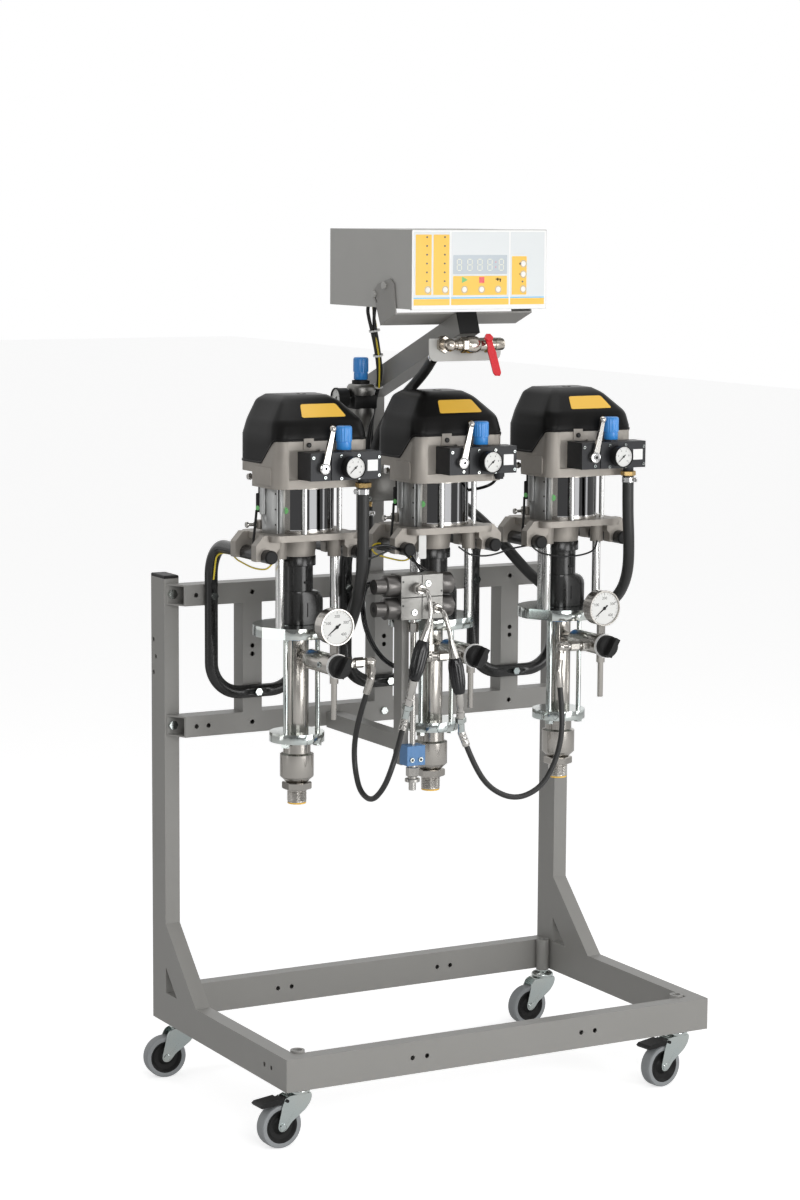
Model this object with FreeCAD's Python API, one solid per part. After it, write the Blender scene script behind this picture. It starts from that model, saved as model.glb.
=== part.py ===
import FreeCAD, Part
import math
import os

# Two-component dosing system: three air-driven piston pumps on a welded trolley,
# with a mixing block, a control box on an arm, and the air and material lines.
# All sizes are in millimetres. X runs along the front rail, Y to the rear, Z up.
# The model is built about the trolley's middle and shifted by row_shift at the end.

V = FreeCAD.Vector
X_AXIS = V(1, 0, 0)
Y_AXIS = V(0, 1, 0)
Z_AXIS = V(0, 0, 1)
FRONT = V(0, -1, 0)
DOWN = V(0, 0, -1)

# The casters trail to the left, so the trolley stands right of the whole part's middle
row_shift = 21.2

# Trolley
trolley_width = 900.0
trolley_depth = 575.0
tube_high = 60.0
tube_wide = 30.0
tube_wall = 3.0
rail_underside = 110.0
upright_top = 969.0
strut_rise = 135.0
socket_radius = 13.0
socket_bore = 8.0
socket_proud = 3.0
frame_hole = 4.5
cap_thickness = 6.0
cap_spigot = 14.0

# Casters
wheel_radius = 40.0
tyre_width = 25.0
hub_radius = 31.0
wheel_bore = 4.1
axle_radius = 4.0
caster_trail = 38.0
fork_gap = 31.0
fork_plate = 3.0
race_radius = 22.0
race_top = 106.0
race_bottom = 96.0
stem_radius = 6.0
stem_clearance = 0.1
pedal_length = 52.0
pedal_width = 34.0
pedal_pivot_x = 30.0
pedal_pivot_z = 87.0
pedal_pin = 3.0
pin_clearance = 0.06

# Carrier frame bolted across the uprights
carrier_tube = 40.0
carrier_wall = 3.0
carrier_upper_z = 920.0
carrier_lower_z = 670.0
carrier_rear_reach = 3.0
carrier_end_cut = 22.0
pump_pitch = 285.0
bolt_radius = 5.0
bolt_hole = 5.3
bolt_head_flats = 16.0
bolt_head_high = 6.4

# Bent bracket tubes that carry the pumps
bracket_radius = 12.5
bracket_half = 92.0
bracket_bottom_z = 752.0
bracket_arm_z = 1038.0
bracket_front_y = -76.0
bracket_bend = 60.0
bracket_bolt = 4.0
bracket_bolt_hole = 4.2
plug_thickness = 6.0

# Pump levels, from the inlet up to the hood
inlet_tip_z = 566.0
thread_top_z = 593.0
hex_top_z = 607.0
cone_top_z = 618.0
inlet_body_top_z = 660.0
lower_plate_z = 684.0
lower_plate_thick = 18.0
upper_plate_z = 883.0
upper_plate_thick = 20.0
casting_foot_z = 1030.0
guard_top_z = casting_foot_z - 18
cup_top_z = guard_top_z - 47
flange_z = 1064.0
motor_base_z = 1076.0
motor_top_z = 1162.0
head_rim_z = 1188.0
head_front_z = 1248.0
head_rear_z = 1205.0
hood_shoulder_z = 1282.0
hood_crease_z = 1317.0
hood_top_z = 1326.0

# Pump diameters and offsets
thread_radius = 18.5
inlet_hex_flats = 48.0
inlet_body_radius = 31.5
inlet_neck_radius = 25.5
inlet_bore = 11.0
seal_ring_thick = 3.0
fluid_radius = 21.7
fluid_bore = 18.45
plunger_radius = 18.4
plunger_length = 22.0
lower_plate_radius = 51.0
upper_plate_radius = 82.0
plate_flat = 78.0
blue_ring_radius = 23.6
tie_rod_radius = 4.6
tie_rod_circle = 38.0
tie_nut_flats = 15.0
tie_nut_high = 8.0
spacer_radius = 8.0
spacer_circle = 69.0
guard_radius = 30.0
guard_wall = 3.0
cup_lobe = 20.0
motor_radius = 67.0
motor_bore = 60.0
piston_radius = 59.94
piston_thick = 16.0
piston_z = 1111.0
rod_radius = 10.0
rod_clearance = 0.06
coupling_radius = 17.0
coupling_z = 952.0
coupling_long = 34.0
stroke_half = 30.0
motor_rod_radius = 5.0
motor_rods = ((64.0, -44.0), (-22.0, -74.0), (60.0, 44.0))
head_half_x = 95.0
head_front_y = -106.0
head_rear_y = 57.0
head_corner = 25.0
head_step_front_y = -92.0
head_step_rear_y = -44.0
head_waist_y = -6.0
head_waist_half = 72.0
tab_x = -31.5
tab_half = 10.0
tab_proud = 5.0
recess_floor_y = -98.0
hood_wall = 3.0
hood_crease_half = 57.0
hood_crease_front_y = -60.0
hood_crease_rear_y = 48.0
hood_crease_corner = 13.0
hood_rear_spread = 12.0
rear_corner_extra = 5.0

# Air controls on each pump's front
controls_z = 1179.5
controls_high = 50.0
controls_front_y = -150.0
valve_left_x = -49.0
recess_left_x = -70.0
valve_right_x = -9.0
regulator_left_x = -7.0
regulator_right_x = 51.0
outlet_block_left_x = 51.5
outlet_block_right_x = 95.0
outlet_block_front_y = -147.0
knob_x = 30.0
knob_y = -126.0
knob_radius = 14.7
knob_high = 43.0
knob_spigot = 11.5
knob_bore = knob_spigot + 0.08
turning_clearance = 0.3
lever_x = -24.5
lever_z = 1202.5
lever_reach = 72.0
lever_lean = 13.0
lever_shaft = 5.0
lever_ball = 6.2
air_gauge_radius = 20.0
air_gauge_deep = 24.0
air_gauge_up = 23.5
tail_x = 69.0
tail_y = -128.0
tail_radius = 8.0

# Relief valve, gauge and outlet on each fluid cylinder
relief_z = 845.0
relief_radius = 19.0
relief_stub_radius = 10.0
relief_body_y = -60.0
relief_ring_y = -160.0
relief_ring_radius = 22.5
relief_ring_thick = 5.0
relief_knob_radius = 21.0
relief_knob_deep = 30.0
return_pipe_y = -148.0
return_pipe_radius = 5.35
return_pipe_end_z = 746.0
return_collar_radius = 8.0
return_collar_z = 812.0
material_gauge_radius = 34.0
material_gauge_deep = 28.0
gauge_stem_flats = 14.0
gauge_stem_high = 20.0
union_y = -138.0
union_radius = 6.5
union_flats = 17.0
union_reach = 80.0
ferrule_radius = 7.2

# Mixing block, its stand and its lines
block_left_x = -150.0
block_width = 88.0
block_front_y = -152.0
block_deep = 40.0
block_bottom_z = 918.0
block_high = 83.0
block_joint = 0.2
actuator_radius = 20.0
actuator_cap_radius = 14.0
stand_left_x = -126.0
stand_arm_size = 30.0
stand_arm_z = 667.0
stand_post_wide = 15.0
stand_post_foot_z = 642.0
stand_post_top_z = 992.0
stand_wall = 2.0
mixer_x = -110.0
mixer_radius = 5.4
mixer_clamp_wide = 38.0
mixer_clamp_deep = 29.0
mixer_clamp_z = 645.0
mixer_clamp_high = 37.0
mixer_end_z = 597.0
hose_radius = 5.2
grip_radius = 14.5

# Control arm, box and main air inlet
arm_tube = 40.0
arm_wall = 3.0
arm_slope = 20.8
arm_foot_z = 900.0
arm_top_front_y = -118.0
arm_top_front_z = 1474.1
box_half_x = 140.0
box_front_y = -162.0
box_rear_y = 150.0
box_bottom_z = 1483.0
box_top_z = 1625.0
box_wall = 2.0
panel_thick = 6.0
panel_proud = 1.0
tilt_y = -73.0
tilt_z = 1524.0
tilt_slot_radius = 42.5
tilt_slot_start = -23.6
tilt_slot_sweep = 20.0
tilt_screw = 3.0
tilt_hole = tilt_screw + pin_clearance
ear_gap = 0.2
yoke_sheet = 3.0
yoke_rear_y = -56.0
key_radius = 5.0
key_hole = key_radius + 0.08
key_long = 5.0
key_proud = 0.9
plate_thick = 3.0
elbow_x = -46.0
bulkhead_radius = 8.0
plate_above = 11.0
plate_below = 31.0
stem_tilt = 35.0
lever_length = 80.0
lever_hang = -5.0
manifold_half_x = 36.0
manifold_deep = 32.0
manifold_z = 1100.0
manifold_high = 55.0
air_hose_radius = 10.8
main_hose_radius = 9.8
tail_seat = 12.0


def box(x0, x1, y0, y1, z0, z1):
    """Upright block between six planes."""
    return Part.makeBox(x1 - x0, y1 - y0, z1 - z0, V(x0, y0, z0))


def rod(x, y, z, radius, length, axis=Z_AXIS):
    """Round bar that starts at a point and runs along an axis."""
    return Part.makeCylinder(radius, length, V(x, y, z), axis)


def join(shapes):
    """One solid from touching or overlapping ones."""
    return shapes[0].multiFuse(shapes[1:]).removeSplitter()


def cut(shape, tools):
    """A solid less several others."""
    return shape.cut(Part.makeCompound(tools))


def face_of(points):
    """Flat face through corner points."""
    return Part.Face(Part.makePolygon(points + [points[0]]))


def slab_x(outline, x0, x1):
    """Side profile of (y, z) corners carried from x0 to x1."""
    return face_of([V(x0, y, z) for y, z in outline]).extrude(V(x1 - x0, 0, 0))


def slab_y(outline, y0, y1):
    """Front profile of (x, z) corners carried from y0 to y1."""
    return face_of([V(x, y0, z) for x, z in outline]).extrude(V(0, y1 - y0, 0))


def slab_z(outline, z0, z1):
    """Plan profile of (x, y) corners carried from z0 to z1."""
    return face_of([V(x, y, z0) for x, y in outline]).extrude(V(0, 0, z1 - z0))


def turned(profile, x, y, z, axis=Z_AXIS):
    """Profile of (radius, height) corners turned about an axis from a point."""
    face = face_of([V(radius, 0, height) for radius, height in profile])
    shape = face.revolve(V(0, 0, 0), Z_AXIS, 360)
    shape.Placement = FreeCAD.Placement(V(x, y, z), FreeCAD.Rotation(Z_AXIS, axis))
    return shape


def hexagon(flats, length, x, y, z, axis=Z_AXIS):
    """Hexagonal bar of a width across its flats."""
    corner = flats / math.sqrt(3)
    corners = [V(corner * math.cos(math.radians(a)), corner * math.sin(math.radians(a)), 0)
               for a in range(0, 360, 60)]
    shape = face_of(corners).extrude(V(0, 0, length))
    shape.Placement = FreeCAD.Placement(V(x, y, z), FreeCAD.Rotation(Z_AXIS, axis))
    return shape


def rounded_outline(x0, x1, y0, y1, corner, z, rear_corner=None, rear_spread=0.0):
    """Rounded rectangle as a closed wire; its rear may have other corners and be wider."""
    rear = corner if rear_corner is None else rear_corner
    middle, half = (x0 + x1) / 2, (x1 - x0) / 2

    def place(px, py):
        share = (py - y0) / (y1 - y0)
        return V(middle + (px - middle) * (1 + rear_spread * share / half), py, z)

    ends = []
    for cx, cy, size, start in ((x1 - rear, y1 - rear, rear, 0), (x0 + rear, y1 - rear, rear, 90),
                                (x0 + corner, y0 + corner, corner, 180),
                                (x1 - corner, y0 + corner, corner, 270)):
        turns = [math.radians(start + turn) for turn in (0, 45, 90)]
        ends.append([place(cx + size * math.cos(turn), cy + size * math.sin(turn))
                     for turn in turns])
    lines = []
    for index, arc in enumerate(ends):
        lines.append(Part.Arc(*arc).toShape())
        lines.append(Part.makeLine(arc[2], ends[(index + 1) % 4][0]))
    return Part.Wire(lines)


def rounded_block(x0, x1, y0, y1, z0, z1, corner, rear_corner=None):
    """Block with rounded upright edges."""
    outline = rounded_outline(x0, x1, y0, y1, corner, z0, rear_corner)
    return Part.Face(outline).extrude(V(0, 0, z1 - z0))


def route_edges(points):
    """Straight runs joined by tangent arcs, with the arcs' radii."""
    corners = [V(*point) for point in points]
    edges = []
    radii = []
    start = corners[0]
    for before, here, after in zip(corners, corners[1:], corners[2:]):
        into = (here - before).normalize()
        out = (after - here).normalize()
        half_turn = into.getAngle(out) / 2
        reach = 0.45 * min((here - before).Length, (after - here).Length)
        radii.append(reach / math.tan(half_turn))
        first = here - into * reach
        last = here + out * reach
        bow = (first + last) * 0.5 - here
        middle = here + bow.normalize() * (radii[-1] / math.cos(half_turn) - radii[-1])
        edges.append(Part.LineSegment(start, first).toShape())
        edges.append(Part.Arc(first, middle, last).toShape())
        start = last
    edges.append(Part.LineSegment(start, corners[-1]).toShape())
    return edges, radii


def route_tube(points, radius, name=None):
    """Round tube along a route; a named one prints its length and bends."""
    edges, radii = route_edges(points)
    wire = Part.Wire(edges)
    along = (V(*points[1]) - V(*points[0])).normalize()
    section = Part.Wire(Part.makeCircle(radius, V(*points[0]), along))
    tube = wire.makePipeShell([section], True, False)
    if name:
        expected = math.pi * radius ** 2 * wire.Length
        print(name, "length", round(wire.Length), "tightest bend", round(min(radii)),
              "volume against section times length", round(tube.Volume / expected, 4))
    return tube


def nozzle(route, radius, length, at_start=False):
    """Straight piece that continues a hose beyond one of its ends, and its far point."""
    end, before = (route[0], route[1]) if at_start else (route[-1], route[-2])
    aim = (V(*end) - V(*before)).normalize()
    return Part.makeCylinder(radius, length, V(*end), aim), V(*end) + aim * length


def bar_between(start, end, radius):
    """Straight round bar between two points."""
    return Part.makeCylinder(radius, (end - start).Length, start, end - start)


def save(name, shapes):
    """Write one node, shifted from the trolley's middle to the part's origin."""
    group = shapes[0] if len(shapes) == 1 else Part.makeCompound(shapes)
    group = group.copy()
    group.translate(V(row_shift, 0, 0))
    group.exportStep("parts/%s.step" % name)


# Places worked out from the sizes above
half_width = trolley_width / 2
half_depth = trolley_depth / 2
rail_top = rail_underside + tube_high
upright_front = half_depth - tube_high
side_inner = half_width - tube_wide
carrier_back = upright_front
carrier_front = carrier_back - carrier_tube
carrier_mid_upper = carrier_upper_z + carrier_tube / 2
carrier_mid_lower = carrier_lower_z + carrier_tube / 2
socket_x = side_inner - socket_radius - 0.3
socket_y = half_depth - tube_wide - socket_radius - 0.3
bracket_y = carrier_front - bracket_radius
carrier_bolt_x = half_width - tube_wide / 2
pump_places = (-pump_pitch, 0.0, pump_pitch)
spacer_angles = (-36, -144, 90)
tie_angles = (-30, -150, 90)
caster_places = (("front_left", -1, -1, 183.0), ("front_right", 1, -1, 188.0),
                 ("rear_left", -1, 1, 175.0), ("rear_right", 1, 1, 184.0))


def side_frame(side):
    """Base rail, rear upright and strut of one side, welded into one hollow piece."""
    strut_foot = upright_front - strut_rise
    strut_span = tube_high * math.sqrt(2)
    slant = tube_wall * math.sqrt(2)
    outer = slab_x([(-half_depth, rail_underside), (half_depth, rail_underside),
                    (half_depth, upright_top), (upright_front, upright_top),
                    (upright_front, rail_top + strut_rise), (strut_foot, rail_top),
                    (-half_depth, rail_top)], 0, tube_wide)
    window = slab_x([(strut_foot + strut_span, rail_top), (upright_front, rail_top),
                     (upright_front, rail_top + strut_rise - strut_span)], -1, tube_wide + 1)
    inside_x = (tube_wall, tube_wide - tube_wall)
    rail_inside = box(*inside_x, tube_wall - half_depth, half_depth - tube_wall,
                      rail_underside + tube_wall, rail_top - tube_wall)
    upright_inside = box(*inside_x, upright_front + tube_wall, half_depth - tube_wall,
                         rail_underside + tube_wall, upright_top)
    strut_inside = slab_x([(upright_front, rail_top + strut_rise - slant),
                           (strut_foot + slant, rail_top),
                           (strut_foot + strut_span - slant, rail_top),
                           (upright_front, rail_top + strut_rise - strut_span + slant)], *inside_x)
    tools = [window, rail_inside, upright_inside, strut_inside]
    outer_face = tube_wide - tube_wall - 1
    for y, z in ((half_depth - 10, 848), (half_depth - 20, 816.5), (half_depth - 10, 785),
                 (-198, 140), (-226, 140)):
        tools.append(rod(outer_face, y, z, frame_hole, tube_wall + 2, X_AXIS))
    for z in (carrier_mid_upper, carrier_mid_lower):
        tools.append(rod(tube_wide / 2, upright_front - 1, z, bolt_hole, tube_wall + 2, Y_AXIS))
    frame = cut(outer, tools)
    if side < 0:
        frame = frame.mirror(V(0, 0, 0), X_AXIS)
    frame.translate(V(side * side_inner, 0, 0))
    return frame


def cross_rail(y_middle):
    """Front or rear base tube between the side frames, with its pairs of holes."""
    outer = box(-side_inner, side_inner, y_middle - tube_wide / 2, y_middle + tube_wide / 2,
                rail_underside, rail_top)
    inner = box(-side_inner, side_inner, y_middle - tube_wide / 2 + tube_wall,
                y_middle + tube_wide / 2 - tube_wall,
                rail_underside + tube_wall, rail_top - tube_wall)
    holes = [rod(side * 180 + step, -half_depth - 1 if y_middle < 0 else y_middle - tube_wide / 2 - 1,
                 rail_underside + tube_high / 2, frame_hole, tube_wall + 2, Y_AXIS)
             for side in (-1, 1) for step in (-15, 15)]
    return cut(outer, [inner] + holes)


def caster_socket(side_x, side_y):
    """Upright tube welded into a corner of the base for the caster's stem."""
    height = tube_high + socket_proud
    tube = rod(side_x * socket_x, side_y * socket_y, rail_underside, socket_radius, height)
    return tube.cut(rod(side_x * socket_x, side_y * socket_y, rail_underside, socket_bore, height))


def trolley_frame():
    """The welded base: two sides, two cross rails and four caster sockets."""
    rails = [cross_rail(side * (half_depth - tube_wide / 2)) for side in (-1, 1)]
    sockets = [caster_socket(x, y) for x in (-1, 1) for y in (-1, 1)]
    save("trolley_frame", [side_frame(-1), side_frame(1)] + rails + sockets)


def place_caster(shape, side_x, side_y, angle):
    """Turn a caster piece to its trailing direction and stand it under its socket."""
    shape.rotate(V(0, 0, 0), Z_AXIS, angle)
    shape.translate(V(side_x * socket_x, side_y * socket_y, 0))
    return shape


def caster_fork(braked):
    """Pressed fork with its ball race, axle bolt and, in front, the pedal's ears."""
    half_gap = fork_gap / 2
    outer = half_gap + fork_plate
    crown = box(-16, 24, -outer, outer, race_bottom - fork_plate, race_bottom)
    race = turned([(0, race_bottom), (race_radius - 2, race_bottom), (race_radius, race_bottom + 3),
                   (race_radius, race_top - 3), (race_radius - 4, race_top), (0, race_top)], 0, 0, 0)
    side = [(-16, race_bottom), (24, race_bottom), (36, 92), (36, 80),
            (caster_trail + 12, wheel_radius), (caster_trail - 12, wheel_radius), (-10, 80)]
    pieces = [crown, race]
    for sign in (-1, 1):
        leg = slab_y(side, sign * half_gap, sign * outer)
        foot = rod(caster_trail, sign * half_gap, wheel_radius, 12, fork_plate, V(0, sign, 0))
        head = rod(caster_trail, sign * outer, wheel_radius, 6.5, 3.5, V(0, sign, 0))
        pieces += [leg, foot, head]
    pieces.append(rod(caster_trail, -outer, wheel_radius, axle_radius, 2 * outer, Y_AXIS))
    fork = join(pieces)
    bore = rod(0, 0, race_bottom - fork_plate - 1, stem_radius + stem_clearance, 30)
    tools = [bore]
    if braked:
        pin = pedal_pin + pin_clearance
        tools.append(rod(pedal_pivot_x, -outer - 1, pedal_pivot_z, pin, 2 * outer + 2, Y_AXIS))
    return cut(fork, tools)


def caster_wheel():
    """Rubber tyre bonded on a moulded hub."""
    half = tyre_width / 2
    hub = turned([(wheel_bore, -half - 2.5), (10, -half - 2.5), (14, -7), (hub_radius, -9),
                  (hub_radius, 9), (14, 7), (10, half + 2.5), (wheel_bore, half + 2.5)], 0, 0, 0, Y_AXIS)
    tyre = turned([(hub_radius, 1 - half), (wheel_radius - 3, -half), (wheel_radius, 4 - half),
                   (wheel_radius, half - 4), (wheel_radius - 3, half), (hub_radius, half - 1)],
                  0, 0, 0, Y_AXIS)
    for shape in (hub, tyre):
        shape.translate(V(caster_trail, 0, wheel_radius))
    return [hub, tyre]


def brake_pedal():
    """Foot pedal over the wheel, turning on a pin through the fork's ears."""
    tongue = slab_y([(pedal_pivot_x - 5, 84), (pedal_pivot_x + 14, 83), (pedal_pivot_x + 14, 89),
                     (pedal_pivot_x - 5, 91)], -fork_gap / 2 + 1, fork_gap / 2 - 1)
    tread = slab_y([(pedal_pivot_x + 10, 83), (pedal_pivot_x + pedal_length, 80),
                    (pedal_pivot_x + pedal_length + 3, 84), (pedal_pivot_x + pedal_length - 2, 88),
                    (pedal_pivot_x + 12, 92)], -pedal_width / 2, pedal_width / 2)
    outer = fork_gap / 2 + fork_plate
    pin = rod(pedal_pivot_x, -outer, pedal_pivot_z, pedal_pin, 2 * outer, Y_AXIS)
    return join([tongue, tread, pin])


def casters():
    """Four trailing casters, the front two with brakes."""
    for name, side_x, side_y, angle in caster_places:
        braked = side_y < 0
        save("caster_fork_" + name, [place_caster(caster_fork(braked), side_x, side_y, angle)])
        save("caster_wheel_" + name, [place_caster(piece, side_x, side_y, angle)
                                      for piece in caster_wheel()])
        if braked:
            save("brake_pedal_" + name, [place_caster(brake_pedal(), side_x, side_y, angle)])


def carrier_bolt_places():
    """Bolt centres (x, z) of the carrier on the uprights."""
    return [(side * carrier_bolt_x, z) for side in (-1, 1)
            for z in (carrier_mid_upper, carrier_mid_lower)]


def bracket_bolt_places():
    """Bolt centres (x, z) of the bracket tubes on the carrier."""
    places = []
    for x in pump_places:
        places += [(x - bracket_half, carrier_mid_upper), (x + bracket_half, carrier_mid_upper),
                   (x, bracket_bottom_z)]
    return places


def carrier_rail(z):
    """One long carrier tube with slanting ends that leave its rear wall longer."""
    reach = half_width - carrier_rear_reach
    front_reach = reach - carrier_end_cut
    outer = slab_z([(-reach, carrier_back), (reach, carrier_back), (front_reach, carrier_front),
                    (-front_reach, carrier_front)], z, z + carrier_tube)
    inner = box(-reach - 1, reach + 1, carrier_front + carrier_wall, carrier_back - carrier_wall,
                z + carrier_wall, z + carrier_tube - carrier_wall)
    return outer.cut(inner)


def carrier_frame():
    """Two rails and three posts welded into the frame that holds the pumps."""
    half = carrier_tube / 2
    pieces = [carrier_rail(carrier_upper_z), carrier_rail(carrier_lower_z)]
    for x in pump_places:
        outer = box(x - half, x + half, carrier_front, carrier_back,
                    carrier_lower_z + carrier_tube, carrier_upper_z)
        inner = box(x - half + carrier_wall, x + half - carrier_wall, carrier_front + carrier_wall,
                    carrier_back - carrier_wall, carrier_lower_z + carrier_tube, carrier_upper_z)
        pieces.append(outer.cut(inner))
    frame = join(pieces)
    front_holes = [(-402, carrier_mid_upper), (-402, carrier_mid_lower), (-377, carrier_mid_lower),
                   (377, carrier_mid_lower), (402, carrier_mid_lower), (402, carrier_mid_upper)]
    for x in pump_places:
        front_holes += [(x, carrier_mid_upper), (x, 837), (x, 821)]
        front_holes.append((x, carrier_mid_lower))
    tools = [rod(x, carrier_front - 1, z, frame_hole, carrier_wall + 2, Y_AXIS)
             for x, z in front_holes]
    for x, z in carrier_bolt_places():
        tools.append(rod(x, carrier_back - carrier_wall - 1, z, bolt_hole, carrier_wall + 2, Y_AXIS))
    for x, z in bracket_bolt_places():
        tools.append(rod(x, carrier_front - 1, z, bracket_bolt_hole, carrier_wall + 2, Y_AXIS))
    for z in (carrier_mid_upper - 10, carrier_mid_upper + 10):
        tools.append(rod(0, carrier_back - carrier_wall - 1, z, bracket_bolt_hole, carrier_wall + 2,
                         Y_AXIS))
    save("carrier_frame", [cut(frame, tools)])


def bracket_tube(x):
    """One tube bent from arm to arm: forward, down, across, up and forward again."""
    left, right = x - bracket_half, x + bracket_half
    bend = bracket_bend
    skew = bend * (1 - math.sqrt(0.5))
    top, bottom = bracket_arm_z, bracket_bottom_z
    knots = [V(left, bracket_front_y, top), V(left, bracket_y - bend, top),
             V(left, bracket_y, top - bend), V(left, bracket_y, bottom + bend),
             V(left + bend, bracket_y, bottom), V(right - bend, bracket_y, bottom),
             V(right, bracket_y, bottom + bend), V(right, bracket_y, top - bend),
             V(right, bracket_y - bend, top), V(right, bracket_front_y, top)]
    middles = {1: V(left, bracket_y - skew, top - skew), 3: V(left + skew, bracket_y, bottom + skew),
               5: V(right - skew, bracket_y, bottom + skew), 7: V(right, bracket_y - skew, top - skew)}
    edges = []
    for index, (start, end) in enumerate(zip(knots, knots[1:])):
        if index in middles:
            edges.append(Part.Arc(start, middles[index], end).toShape())
        else:
            edges.append(Part.LineSegment(start, end).toShape())
    section = Part.Wire(Part.makeCircle(bracket_radius, knots[0], Y_AXIS))
    tube = Part.Wire(edges).makePipeShell([section], True, False)
    holes = [rod(place_x, bracket_y - 20, z, bracket_bolt_hole, 40, Y_AXIS)
             for place_x, z in bracket_bolt_places() if abs(place_x - x) < pump_pitch / 2]
    return cut(tube, holes)


def hex_bolt(x, y, z, radius, length, flats, head, axis):
    """Hexagon bolt: the shank runs along the axis and the head stands behind it."""
    back = V(x, y, z) - axis * head
    return join([rod(x, y, z, radius, length, axis), hexagon(flats, head, back.x, back.y, back.z, axis)])


def frame_bolts():
    """Hexagon bolts of the carrier, brackets and arms, and the caster stems."""
    bolts = [hex_bolt(x, carrier_back - carrier_wall, z, bolt_radius, carrier_wall + tube_wall + 6,
                      bolt_head_flats, bolt_head_high, Y_AXIS) for x, z in carrier_bolt_places()]
    for x, z in bracket_bolt_places():
        bolts.append(hex_bolt(x, bracket_y - bracket_radius, z, bracket_bolt,
                              2 * bracket_radius + carrier_wall + 5, 13, 5.3, Y_AXIS))
    for z in (carrier_mid_upper - 10, carrier_mid_upper + 10):
        bolts.append(hex_bolt(0, carrier_back + arm_wall, z, bracket_bolt, carrier_wall + arm_wall + 5,
                              13, 5.3, FRONT))
    bolts.append(hex_bolt(0, carrier_front, carrier_mid_lower, bracket_bolt, 2, 13, 5.3, Y_AXIS))
    for side_x in (-1, 1):
        for side_y in (-1, 1):
            x, y = side_x * socket_x, side_y * socket_y
            stem = rod(x, y, race_bottom - 6, stem_radius, 60)
            head = rod(x, y, race_bottom - 10.5, 10, 7)
            nut = hexagon(19, rail_underside - race_top - 0.3, x, y, race_top + 0.3)
            bolts.append(join([stem, head, nut]))
    save("frame_bolts", bolts)


def end_plug(radius, x, y, z, axis):
    """Round plug that closes a tube's end."""
    return turned([(0, 0), (radius, 0), (radius, plug_thickness - 2), (radius - 2, plug_thickness),
                   (0, plug_thickness)], x, y, z, axis)


def end_plugs():
    """Plastic plugs in the uprights, the bracket tubes and the control arm."""
    plugs = []
    for side in (-1, 1):
        x0, x1 = sorted((side * side_inner, side * half_width))
        cap = box(x0, x1, upright_front, half_depth, upright_top, upright_top + cap_thickness)
        cap = cap.makeChamfer(1.5, [edge for edge in cap.Edges
                                    if edge.CenterOfMass.z > upright_top + cap_thickness - 0.1])
        wall = tube_wall + 0.3
        spigot = box(x0 + wall, x1 - wall, upright_front + wall, half_depth - wall,
                     upright_top - cap_spigot, upright_top)
        plugs.append(join([cap, spigot]))
    for x in pump_places:
        for side in (-1, 1):
            plugs.append(end_plug(bracket_radius, x + side * bracket_half, bracket_front_y,
                                  bracket_arm_z, FRONT))
    plugs.append(arm_frame_shape(box(-arm_tube / 2, arm_tube / 2, 0, plug_thickness - 1,
                                     -arm_tube, 0)))
    save("end_plugs", plugs)


def arm_frame_shape(shape):
    """Turn a shape from the arm's own frame, y forward along it, to its slope and end."""
    shape.rotate(V(0, 0, 0), Z_AXIS, 180)
    shape.rotate(V(0, 0, 0), X_AXIS, -arm_slope)
    shape.translate(V(0, arm_top_front_y, arm_top_front_z))
    return shape


def arm_line_z(y, drop=0.0):
    """Height of the arm's top face, or of a line below it, at a place y."""
    slope = math.tan(math.radians(arm_slope))
    return arm_top_front_z - (y - arm_top_front_y) * slope - drop / math.cos(math.radians(arm_slope))


def control_arm():
    """Post behind the carrier and the sloping arm above it, mitred and welded."""
    slope = math.radians(arm_slope)
    rear, front = carrier_back + arm_tube, carrier_back

    def outline(inset):
        low_y = arm_top_front_y + (arm_tube - inset) * -math.sin(slope)
        low_z = arm_top_front_z - (arm_tube - inset) * math.cos(slope)
        top_y = arm_top_front_y - inset * math.sin(slope)
        top_z = arm_top_front_z - inset * math.cos(slope)
        return [(rear - inset, arm_foot_z), (rear - inset, arm_line_z(rear - inset, inset)),
                (top_y, top_z), (low_y, low_z),
                (front + inset, arm_line_z(front + inset, arm_tube - inset)),
                (front + inset, arm_foot_z)]
    outer = slab_x(outline(0), -arm_tube / 2, arm_tube / 2)
    inner = slab_x(outline(arm_wall), arm_wall - arm_tube / 2, arm_tube / 2 - arm_wall)
    holes = [rod(0, carrier_back - 1, z, bracket_bolt_hole, arm_wall + 2, Y_AXIS)
             for z in (carrier_mid_upper - 10, carrier_mid_upper + 10)]
    access = [rod(0, rear - arm_wall - 1, z, 8, arm_wall + 2, Y_AXIS)
              for z in (carrier_mid_upper - 10, carrier_mid_upper + 10)]
    return cut(outer, [inner] + holes + access)


def tilt_slot(side):
    """Curved slot in one ear for the clamping screw."""
    tools = []
    start = V(side * (box_half_x - 2), tilt_y, tilt_z)
    for angle in (tilt_slot_start, tilt_slot_start - tilt_slot_sweep):
        turn = math.radians(angle)
        tools.append(rod(start.x, tilt_y + tilt_slot_radius * math.cos(turn),
                         tilt_z + tilt_slot_radius * math.sin(turn), tilt_hole, 10, V(side, 0, 0)))
    corners = []
    for radius, order in ((tilt_slot_radius - tilt_hole, 1), (tilt_slot_radius + tilt_hole, -1)):
        arc = [tilt_slot_start - tilt_slot_sweep * step / 4 for step in range(5)][::order]
        corners += [(tilt_y + radius * math.cos(math.radians(angle)),
                     tilt_z + radius * math.sin(math.radians(angle))) for angle in arc]
    tools.append(slab_x(corners, start.x, start.x + side * 10))
    return join(tools)


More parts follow.
